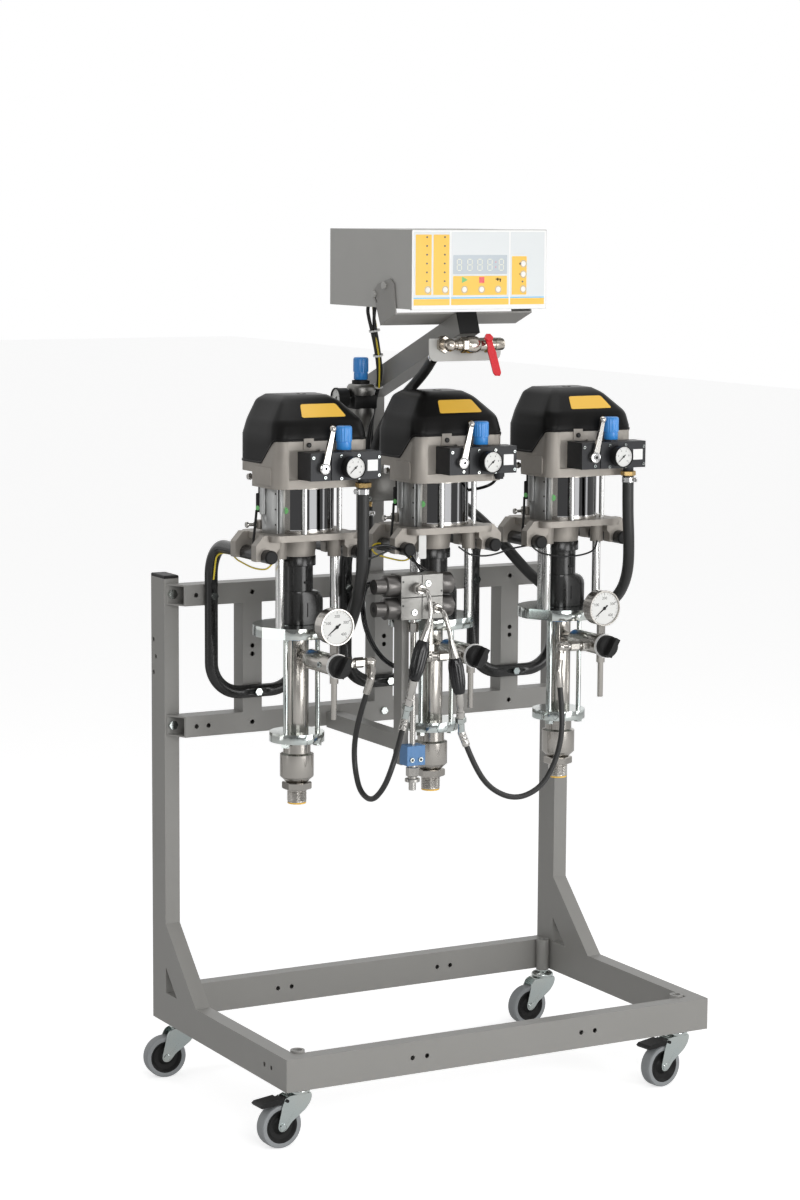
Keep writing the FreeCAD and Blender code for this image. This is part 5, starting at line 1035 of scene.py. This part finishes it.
guards, clips = [], []
for x in PUMP_X:
    guards.append(cup(x, [(903.1, 0, 0), (903.1, 29.4, 20), (903.7, 30, 20), (946, 30, 20),
        (952, 29.9, 19), (958, 29.8, 15.5), (962, 29.7, 11), (964.6, 29.6, 5), (965.4, 29.3, 0),
        (965.6, 27.8, 0), (966.4, 27.8, 0), (966.8, 29.2, 0), (1011.6, 29.2, 0),
        (1012.2, 33.2, 0.6), (1013, 33.8, 0.6), (1029, 33.8, 0.6), (1029.9, 33.2, 0.6),
        (1029.9, 0, 0)]))
    for turn, low, high, out, wide in ((-72, 984, 1006, 29.6, 4.4), (-78, 980, 984, 30.6, 7),
            (-66, 1000, 1005, 31, 3), (-70, 918, 944, 30.4, 5)):
        aim = heading(turn)
        clips.append(carried(rounded(2.4, wide * 2, 0.8, 3),
            np.array([x, 0, low]) + aim * (out - 0.8), UP, high - low, 0.4, aim))
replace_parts(make_piece("guard_cups", guards, "guard_black"), "coupling_guards")
make_piece("guard_clips", clips, "moulded_black")

# %% [markdown]
# The rods between the castings and the upper plate are stainless sleeves, and the thin
# tie rods below are zinc-plated. One node holds both, so the sleeves get their own skin.

# %% Spacer sleeves
sleeves = []
for x in PUMP_X:
    for turn in (-36, -144, 90):
        place = (x + 69 * math.cos(math.radians(turn)), 69 * math.sin(math.radians(turn)), 903.1)
        sleeves.append(turned([(0, 0), (8.05, 0), (8.1, 0.4), (8.1, 126.4), (8.05, 126.8),
            (0, 126.8)], place))
make_piece("spacer_sleeves", sleeves, "rod_bright")

# %% [markdown]
# Two steel tubes feed the mixing block. Each leaves a nut on the block, bends down and
# ends in a socket under a black grip with long ribs, and a coupling joins it to its hose.
# The outlet pipe runs down behind them through a blue clamp.


# %% Feed lines
def straight(start, end, rows, around=48):
    """Turned profile whose heights are shares of the way from start to end."""
    start, end = np.asarray(start, float), np.asarray(end, float)
    length = np.linalg.norm(end - start)
    return turned([(radius, share * length) for radius, share in rows], start, end - start, around)


def pipe(start, end, radius):
    """Plain round bar from start to end."""
    return straight(start, end, [(0, 0), (radius, 0), (radius, 1), (0, 1)])


def grip(start, end):
    """Barrel of a profile with ten long ribs: the flutes fade out at both ends."""
    start, end = np.asarray(start, float), np.asarray(end, float)
    length = np.linalg.norm(end - start)
    rows = [(0, 0, 0), (10.4, 0, 0), (11, 0.01, 0), (12, 0.07, 0), (13.4, 0.16, 0.3),
        (14.3, 0.26, 1), (14.3, 0.5, 1), (13.7, 0.7, 1), (12.4, 0.82, 0.4), (11, 0.93, 0),
        (9.7, 0.99, 0), (9.2, 1, 0), (0, 1, 0)]
    return fluted([(r, h * length, s) for r, h, s in rows], start, end - start, 10, 1.3, 120)


steel, grips, zinc = [], [], []
FEEDS = (((-118, 976), [(-119, -196, 975), (-117, -206, 945), (-121, -207, 922)], (-134, -208, 887),
          (-156, -212, 817), "hose_a", -1),
         ((-84, 939), [(-85, -196, 937), (-80, -205, 908), (-76, -206, 887)], (-69, -208, 852),
          (-60, -212, 786), "hose_b", 0))
for (x, z), bend, socket, end, hose, which in FEEDS:
    route = np.array(HOSES[hose][1] if which == 0 else HOSES[hose][1][::-1], float)
    aim = unit(route[0] - route[1])
    joint = route[0] + aim * 24
    steel.append(carried(ngon(19), (x, -152, z), FRONT, 12, 1.2))
    steel.append(carried(ngon(16), (x, -164, z), FRONT, 8, 1.0))
    steel.append(swept(corner_cut([(x, -168, z), (x, -180, z)] + bend + [socket]), 4.3, 24))
    steel.append(straight(bend[-1], socket, [(0, 0), (4.4, 0), (6.6, 0.35), (8.8, 0.8), (9.2, 1),
        (0, 1)]))
    grips.append(grip(socket, end))
    steel.append(straight(end, joint, [(0, -0.02), (7.2, -0.02), (7.6, 0.04), (7.6, 0.3),
        (6.2, 0.34), (6.2, 0.44), (8, 0.46), (8, 0.6), (0, 0.6)]))
    follow = joint - np.array(end, float)
    zinc.append(carried(ngon(18), np.array(end) + follow * 0.6, follow, 11, 1.2))
    zinc.append(pipe(np.array(end) + follow * 0.75, joint, 6.4))
    steel.append(straight(joint + aim * 3, route[0] - aim * 3,
        [(0, 0), (6.2, 0), (7.2, 0.08), (7.2, 0.3), (6.7, 0.33), (7.2, 0.36), (7.2, 0.55),
        (6.7, 0.58), (7.2, 0.61), (7.2, 0.95), (6.6, 1), (0, 1)]))
steel.append(turned([(0, 597), (6.2, 597), (6.8, 597.6), (6.8, 613), (13.6, 613), (14, 613.5),
    (14, 618.5), (13.4, 619), (9, 620), (9, 644), (5.4, 644), (5.4, 918), (0, 918)],
    (-110, -126.5, 0)))
steel.append(carried(ngon(17), (-110, -126.5, 892), UP, 18, 1.2))
steel.append(carried(ngon(21), (-110, -126.5, 623), UP, 18, 1.4))
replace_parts(make_piece("feed_tubes", steel, "steel_bright"), "feed_lines")
make_piece("feed_grips", grips, "wrap_black", sharp=60)
make_piece("feed_nuts", zinc, "zinc_plate")

# %% [markdown]
# The mixing block is four brushed aluminium blocks. Near their corners small dark discs
# are painted shade in the sockets of their screws, and two bright plugs close ports in
# front. The blue clamp has two screws.

# %% Mixing block and clamp details
for px, pz in ((-147, 989), (-147, 945), (-67, 969)):
    socket_shade.append(disc(1.9, 0, 0.25, (px + 1.5, -152.1, pz), FRONT, 20))
for px, pz in ((-94, 984), (-122, 932)):
    screw_steel.append(turned([(0, 0), (6.2, 0), (6.2, 1.2), (5.6, 1.8), (0, 1.8)],
        (px, -152.1, pz), FRONT, 32))
    cap_screw((px, -153.8, pz), FRONT, 3.4, 1.6)
for px in (-119, -101):
    cap_screw((px, -141.2, 656), FRONT, 4.6, 2.4)
# Dark discs of painted shade in the sockets on the actuators' hubs.
for pz in (938.8, 980.2):
    for side, face in ((-1, -150), (1, -62)):
        hub = (face + side * (46.2 if side < 0 else 33.2), -132, pz)
        socket_shade.append(disc(5.2, 0, 0.3, hub, (side, 0, 0), 32))

# %% [markdown]
# The control box has a moulded front panel with a printed face. Every printed field is
# a thin plate with small round corners, and fields of one colour share a mesh. The
# digits of the display are made of seven bars each. They ride on the box, so they tilt
# with it. Panel points are (across, up) from the panel's lower left corner.


# %% Control panel
FACE_Y = -168.0
PANEL_X, PANEL_Z = -140, 1483
COLUMNS = ((3, 77.5), (80.5, 201.5), (204.5, 277))


def field(x0, x1, z0, z1, level=0.25, corner=1.5):
    """Thin plate on the panel: its place is the panel corner plus (x, z), its height the level."""
    half = ((x1 - x0) / 2, (z1 - z0) / 2)
    return plate([(-half[0], -half[1]), (half[0], -half[1]), (half[0], half[1]),
        (-half[0], half[1])], min(corner, *half), ((x0 + x1) / 2 + PANEL_X, FACE_Y,
        (z0 + z1) / 2 + PANEL_Z), FRONT, RIGHT, level, 0.2)


def on_panel(name, grids, finish_name):
    """Printed fields as one mesh that rides on the box."""
    make_piece(name, grids, finish_name, "control_box")


on_panel("panel_sheet", [field(-0.7, 280.7, -0.7, 141.7, 0.1, 3)], "white_plain")
pale = [field(x0, x1, 22, 138.5) for x0, x1 in COLUMNS]
on_panel("panel_fields", pale, "panel_grey")
yellow = [field(6.5, 39.5, 25.6, 133.8, 0.4), field(43.2, 76.2, 25.6, 133.8, 0.4),
          field(84.1, 197.5, 24.8, 59.5, 0.4), field(207.5, 239, 24.8, 94.8, 0.4)]
yellow += [field(x0, x1, 7.2, 18.5, 0.3, 0.3) for x0, x1 in COLUMNS]
on_panel("panel_yellow_fields", yellow, "panel_yellow")
on_panel("panel_blue_lines", [field(x0, x1, 18.9, 21.2, 0.3, 0.3) for x0, x1 in COLUMNS],
    "panel_blue")
on_panel("panel_display", [field(84.1, 197.5, 62.5, 97, 0.4)], "display_grey")
leds = [(x, z) for x in (29.8, 66.5) for z in (129, 113.4, 97.8, 82, 66.2, 50.4)] + [(230.5, 48.6)]
print(len(leds), "lamps")
on_panel("panel_lamps", [turned([(0, 0), (1.7, 0), (1.5, 0.9), (0, 1.1)],
    (x + PANEL_X, FACE_Y - 0.35, z + PANEL_Z), FRONT, 20) for x, z in leds], "lamp_dark")
rings = [turned([(6.7, 0), (6.7, 0.55), (5.5, 0.55), (5.5, 0), (6.7, 0)], (x, FACE_Y, z), FRONT,
    40) for x, z in ((-108, 1518), (-72, 1518), (-32, 1518), (4, 1518), (39, 1518), (92, 1564),
    (92, 1545), (92, 1518))]
on_panel("panel_key_rings", rings, "case_grey")
bars = []
for k, across in enumerate((97, 119, 140, 161, 185)):
    for x0, x1, z0, z1 in ((-3.4, 3.4, 22.6, 24.2), (-3.4, 3.4, 12.6, 14.2), (-3.4, 3.4, 2.6, 4.2),
            (-5.4, -3.8, 14.2, 22.6), (3.8, 5.4, 14.2, 22.6), (-5.4, -3.8, 4.2, 12.6),
            (3.8, 5.4, 4.2, 12.6)):
        bars.append(field(across + x0, across + x1, 66 + z0, 66 + z1, 0.5, 0.6))
on_panel("display_digits", bars, "digit_cream")
on_panel("display_colon", [field(172.4, 174.2, z, z + 2.4, 0.5, 0.8) for z in (74, 83)], "red_dip")
start = plate([(-5.5, -6.2), (7, 0), (-5.5, 6.2)], 0.6, (-32, FACE_Y, 1535.5), FRONT, RIGHT, 0.55,
    0.2)
on_panel("mark_start", [start], "mark_green")
on_panel("mark_stop", [field(138.6, 149.6, 46.6, 57.6, 0.55, 0.4)], "red_dip")
gun = [field(173, 185, 52.4, 54.4, 0.55, 0.5), field(182, 184.5, 48.4, 53, 0.55, 0.5),
    field(176.5, 179, 50.2, 56, 0.55, 0.5)]
gun += [field(222.6, 227, 80.2, 81.6, 0.55, 0.3), field(224.1, 225.5, 78.7, 83.1, 0.55, 0.3),
    field(222.6, 227, 61.6, 63, 0.55, 0.3)]
on_panel("marks_dark", gun, "moulded_black")

# %% [markdown]
# The casters have zinc forks, a grey rubber tyre and a black hub with a deep rim. Tyre
# and hub are turned about the axle and ride on the wheel, so they roll with it. The ball
# race and the nut above it sit on the fork's own axis.

# %% Casters
CASTERS = {"front_left": (-406.7, -244.2, 183), "front_right": (406.7, -244.2, 188),
           "rear_left": (-406.7, 244.2, 175), "rear_right": (406.7, 244.2, 184)}
TYRE = [(31, -11.5), (36.3, -12.5), (38.5, -12.0), (39.6, -10.4), (39.95, -7), (39.95, 7),
    (39.6, 10.4), (38.5, 12.0), (36.3, 12.5), (31, 11.5), (31, -11.5)]
HUB = [(0, -14.9), (9.5, -14.9), (10, -14.4), (12.5, -8.6), (16, -6.4), (24, -7), (28.6, -11.3),
    (31, -11.4), (31, 11.4), (28.6, 11.3), (24, 7), (16, 6.4), (12.5, 8.6), (10, 14.4), (9.5, 14.9),
    (0, 14.9)]
LEG = [(-21, 95.2), (24, 95.2), (33, 91), (38, 82), (44.5, 56), (47.5, 44), (46.6, 35.5), (42, 31),
    (35.5, 31), (30, 35), (20, 47), (4, 58), (-9, 67), (-18, 78), (-21.5, 88)]
for caster, (x, y, turn) in CASTERS.items():
    trail = heading(turn)
    axle = np.cross(UP, trail)
    hub_at = np.array([x, y, 40.0]) + 38 * trail
    tyre = make_piece("tyre_" + caster, [turned(TYRE, hub_at, axle, 72)], "tyre_grey",
                      "caster_wheel_" + caster)
    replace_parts(tyre, "caster_wheel_" + caster)
    make_piece("hub_" + caster, [turned(HUB, hub_at, axle, 72)], "moulded_black",
               "caster_wheel_" + caster)
    race = turned([(0, 95.6), (20.4, 95.8), (22.3, 98), (22.6, 100.4), (22, 102.6), (19.8, 104.6),
        (16, 105.9), (0, 106)], (x, y, 0), UP, 64)
    legs = []
    for side in (-1, 1):
        leg = soft_polygon((np.array(LEG) - (14, 68)) * (1, -1), 3.5, 3)
        legs.append(carried(leg, np.array([x, y, 68]) + 14 * trail + side * axle * (14.4 - 1.2),
            axle, 2.4, 0.5, trail))
        legs.append(turned([(0, 0), (6.8, 0), (6.6, 1.2), (5.4, 2.2), (0, 2.6)],
            hub_at + side * axle * 15.6, side * axle, 32))
    legs.append(carried(rounded(46, 30.6, 6, 5), np.array([x, y, 92.6]) + 1.5 * trail, UP, 2.8, 0.5,
        trail))
    fork = make_piece("legs_" + caster, legs, "zinc_plate", "caster_fork_" + caster)
    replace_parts(fork, "caster_fork_" + caster)
    make_piece("race_" + caster, [race, carried(ngon(20), (x, y, 105.8), UP, 4.1, 0.8)],
        "zinc_plate", "caster_fork_" + caster)

# %% [markdown]
# The main air inlet is made anew, because its gauge is a piece of its own here. A nickel
# ball valve goes through a grey plate. Behind it a filter regulator stands beside the
# post, and an aluminium block shares the air out to the hoses.


# %% Air inlet
def ball(centre, radius, rows=13):
    """Half circle of (radius * sin a, -radius * cos a) points turned about the upright."""
    angle = np.linspace(0, np.pi, rows)
    return turned(np.c_[radius * np.sin(angle), -radius * np.cos(angle)], centre, UP, 40)


valve_at = np.array([-46.0, -142.0, 1417.0])
stem_at = np.array([25.0, -142.0, 1417.0])
STEM_TILT = math.radians(35)
stem_aim = np.array([0, -math.cos(STEM_TILT), math.sin(STEM_TILT)])
main_route = np.array(HOSES["air_hose_main"][1], float)
tail_end = main_route[0] + unit(main_route[0] - main_route[1]) * 8
rear = np.array([-46.0, -106.0, 1417.0])
nickel = [turned([(0, 0), (8, 0), (8, 12), (9.4, 12.6), (10, 13.4), (10, 22), (12, 23), (12, 31),
    (13.6, 32.6), (15.4, 37), (16, 42), (16, 48), (15.2, 54), (13, 58.6), (12, 60), (12, 72),
    (9, 73), (9, 84), (9.6, 84.6), (9.6, 92), (11, 93), (11, 109), (10.4, 110.4), (7, 112),
    (0, 112)], valve_at, RIGHT, 64), carried(ngon(26), valve_at + RIGHT * 22, RIGHT, 12, 1.4),
    carried(ngon(26), valve_at + RIGHT * 72, RIGHT, 12, 1.4), ball(valve_at, 12),
    pipe(valve_at, rear, 8), ball(rear, 9), carried(ngon(28), (-46, -118, 1417), FRONT, 7, 1.2),
    carried(ngon(28), (-46, -115, 1417), BACK, 6, 1.2), pipe(rear, tail_end, 8), ball(tail_end, 8),
    pipe(tail_end, main_route[0], 8), straight(stem_at, stem_at + stem_aim * 19,
    [(0, 0), (6, 0), (6, 0.7), (4.4, 0.74), (4.4, 1), (0, 1)])]
inlet = make_piece("inlet_valve", nickel, "nickel_warm")
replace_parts(inlet, "air_inlet_set")
make_piece("inlet_plate", [carried(np.r_[[(76, 11), (-76, 11)],
    soft_polygon([(-76, 11), (-76, -31), (76, -31), (76, 11)], 17)[6:18]], (0, -115, 1417), FRONT,
    3, 0.4, RIGHT), block((-18, -118, 1427), (18, -115, 1437))], "case_grey")
regulator = (-62, 172, 0)
make_piece("regulator_bowl", [turned([(0, 1228), (6.6, 1228), (7, 1228.6), (9, 1236), (22.4, 1266),
    (24.6, 1272), (25, 1276), (25, 1284), (0, 1284)], regulator, UP, 64),
    turned([(0, 1308), (26.6, 1308.4), (27, 1309), (27, 1323), (26, 1325.6), (24, 1328.6),
    (22, 1330), (0, 1330)], regulator, UP, 64)], "aluminium_brushed")
make_piece("regulator_body", [block((-86, 150, 1283), (-38, 194, 1309), 2),
    turned([(0, 1329), (17, 1329.4), (17, 1336.8), (11.5, 1337.4), (11.5, 1347), (0, 1347)],
    regulator, UP, 48)], "moulded_black")
make_piece("regulator_bracket", [block((-52, 186, 1290), (-19, 190, 1322)),
                                 disc(6, 0, 11.5, (-82, 172, 1304), LEFT, 32)], "zinc_plate")
tails = []
for hose, at_start in (("air_hose_left", False), ("air_hose_main", False),
        ("air_hose_right", True)):
    route = np.array(HOSES[hose][1] if at_start else HOSES[hose][1][::-1], float)
    aim = unit(route[0] - route[1])
    tails.append(straight(route[0] - aim * 6, route[0] + aim * 16,
        [(0, 0), (7.4, 0), (8, 0.1), (8, 0.5), (9.2, 0.52), (9.2, 0.8), (8, 0.82), (8, 1), (0, 1)]))
make_piece("air_manifold", [block((-36, 195.5, 1100), (36, 227.5, 1155), 1.2)], "aluminium_brushed")
make_piece("manifold_tails", tails, "brass_plain")
for px, pz in ((-30, 1106), (30, 1106), (-30, 1149), (30, 1149)):
    cap_screw((px, 195.4, pz), FRONT, 3.6, 2.2)

# %% [markdown]
# Cables hang from the box and wires run behind the pumps. Each is a cord: a NURBS line
# with a round section, whose length is printed. Zip ties hold the bundle together.

# %% Cables and wires
LOOP = np.array([
    (-92, -114, 953), (-92, -80, 953), (-88, -20, 957), (-82, 50, 962), (-86, 92, 957),
    (-93, 100, 940), (-95, 100, 912), (-90, 100, 874), (-72, 100, 834), (-47, 100, 804),
    (-22, 98, 789), (-3, 84, 783), (0, 56, 781), (0, 20, 780)], float)
LOOP_MIDDLE = (-40, 60, 880)
outward = LOOP - LOOP_MIDDLE
outward = 2.7 * outward / np.linalg.norm(outward, axis=1)[:, None]
CABLES = {
    "box_cable_1": (3.4, "rubber_black", [
        (-62, 140, 1484), (-62, 147, 1474), (-57, 150, 1456), (-50, 151, 1433), (-43, 151, 1405),
        (-37, 152, 1376), (-29, 160, 1335), (-27, 180, 1290), (-27, 200, 1230), (-28, 208, 1180),
        (-28, 210, 1156)]),
    "box_cable_2": (3.2, "rubber_black", [
        (-46, 140, 1484), (-46, 147, 1474), (-45, 153, 1442), (-37, 156, 1404), (-31, 157, 1376),
        (-25, 164, 1335), (-24, 184, 1294), (-20, 207, 1240), (-12, 214, 1190), (-10, 212, 1156)]),
    "box_cable_3": (2.8, "rubber_black", [
        (-54, 132, 1484), (-53, 140, 1470), (-47, 143, 1442), (-40, 144, 1410), (-34, 146, 1380),
        (-27, 152, 1345), (-29, 172, 1300), (-33, 194, 1240), (-34, 204, 1190), (-33, 206, 1156)]),
    "box_earth_wire": (1.7, "wire_yellow", [
        (-50, 146, 1484), (-50, 149, 1474), (-42, 146, 1440), (-44, 143.5, 1412), (-39, 143, 1388),
        (-34, 147, 1360), (-30, 158, 1322)]),
    "earth_wire_left": (1.6, "wire_yellow", [
        (-372, 96, 1028), (-370, 84, 1018), (-368, 60, 1014), (-368, 23, 1009), (-368, -19, 1009),
        (-366, -48, 1014), (-362, -60, 1030)]),
    "earth_wire_post": (1.6, "wire_yellow", [
        (-376, 108, 1026), (-379, 124, 1027), (-382, 141, 1018), (-382, 146, 1004),
        (-381, 152, 988), (-379, 160, 972)]),
    "earth_wire_middle": (1.6, "wire_yellow", [
        (-104, 12, 1041), (-117, 8, 1043), (-129, 3, 1035), (-122, 0, 1023), (-96, 0, 1015),
        (-60, 0, 1006), (-44, 0, 1014), (-40, 0, 1036)]),
    "casting_wire_middle": (1.7, "wrap_black", [
        (24, -58, 1036), (34, -60, 1028), (48, -60, 1020), (70, -60, 1016), (91, -60, 1016),
        (113, -60, 1020), (140, -56, 1027), (181, -52, 1030)]),
    "casting_wire_right": (1.7, "wrap_black", [
        (182, -62, 1030), (192, -62, 1020), (213, -60, 1012), (247, -60, 1006), (280, -60, 1005),
        (310, -60, 1009), (328, -58, 1017), (333, -56, 1032)]),
    "block_line_1": (2.5, "wrap_black", LOOP + outward),
    "block_line_2": (2.5, "wrap_black", LOOP - outward),
    "signal_cable_1": (2.2, "wrap_black", [
        (-174, -60, 1040), (-150, -62, 1048), (-124, -64, 1046), (-100, -62, 1034),
        (-80, -64, 1018), (-68, -82, 1004), (-72, -112, 1001)]),
    "signal_cable_2": (1.9, "wrap_black", [
        (-184, -56, 1018), (-150, -60, 1027), (-120, -62, 1040), (-92, -60, 1040),
        (-78, -66, 1022), (-84, -96, 1008), (-90, -120, 1001)]),
    "outlet_wire": (3.0, "wrap_black", [
        (84, -96, 1172), (84, -92, 1162), (84, -70, 1150), (82, -30, 1140), (76, 20, 1132),
        (60, 52, 1126), (40, 60, 1124)]),
}
SENSOR_ROUTE = np.array([
    (-83, 0, 1116), (-88, -8, 1106), (-96, -20, 1088), (-106, -34, 1064), (-109, -36, 1046),
    (-103, -33, 1034), (-96, -28, 1030)])
for side, x in PUMPS.items():
    CABLES["sensor_cable_" + side] = (2.4, "moulded_black", SENSOR_ROUTE + (x, 0, 0))
for cable, (radius, name, route) in CABLES.items():
    make_cord(cable, route, radius, 3).data.materials.append(FINISHES[name][0])
ties = []
for place, aim, radius in (((-45, 149, 1432), (0.2, 0, -1), 10.5),
                           ((-36, 151, 1385), (0.2, 0.1, -1), 9.5),
                           ((-27, 167, 1325), (0.1, 0.4, -1), 9)):
    ties.append(turned([(radius - 0.6, -1.8), (radius + 0.3, -1.8), (radius + 0.3, 1.8),
                        (radius - 0.6, 1.8), (radius - 0.6, -1.8)], place, aim, 40))
make_piece("zip_ties", ties, "white_plain")
make_piece("hang_tag", [plate([(-8, -22), (8, -22), (8, 22), (-8, 22)], 2, (-58, -66, 1040),
                              FRONT, RIGHT, 0.8, 0.2)], "tag_pale")

# %% [markdown]
# All the screw heads that the steps above collected become three meshes: bright heads,
# dark heads and the sockets' painted shade.

# %% Screws
make_piece("screw_heads", screw_steel, "zinc_plate")
make_piece("screw_heads_dark", screw_dark, "moulded_black")
# The sockets' shade is painted: dark plates where the recesses are.
make_piece("socket_shade", socket_shade, "rubber_black")


# %% [markdown]
# Last, the view layer is brought up to date.

# %% Finish
bpy.context.view_layer.update()
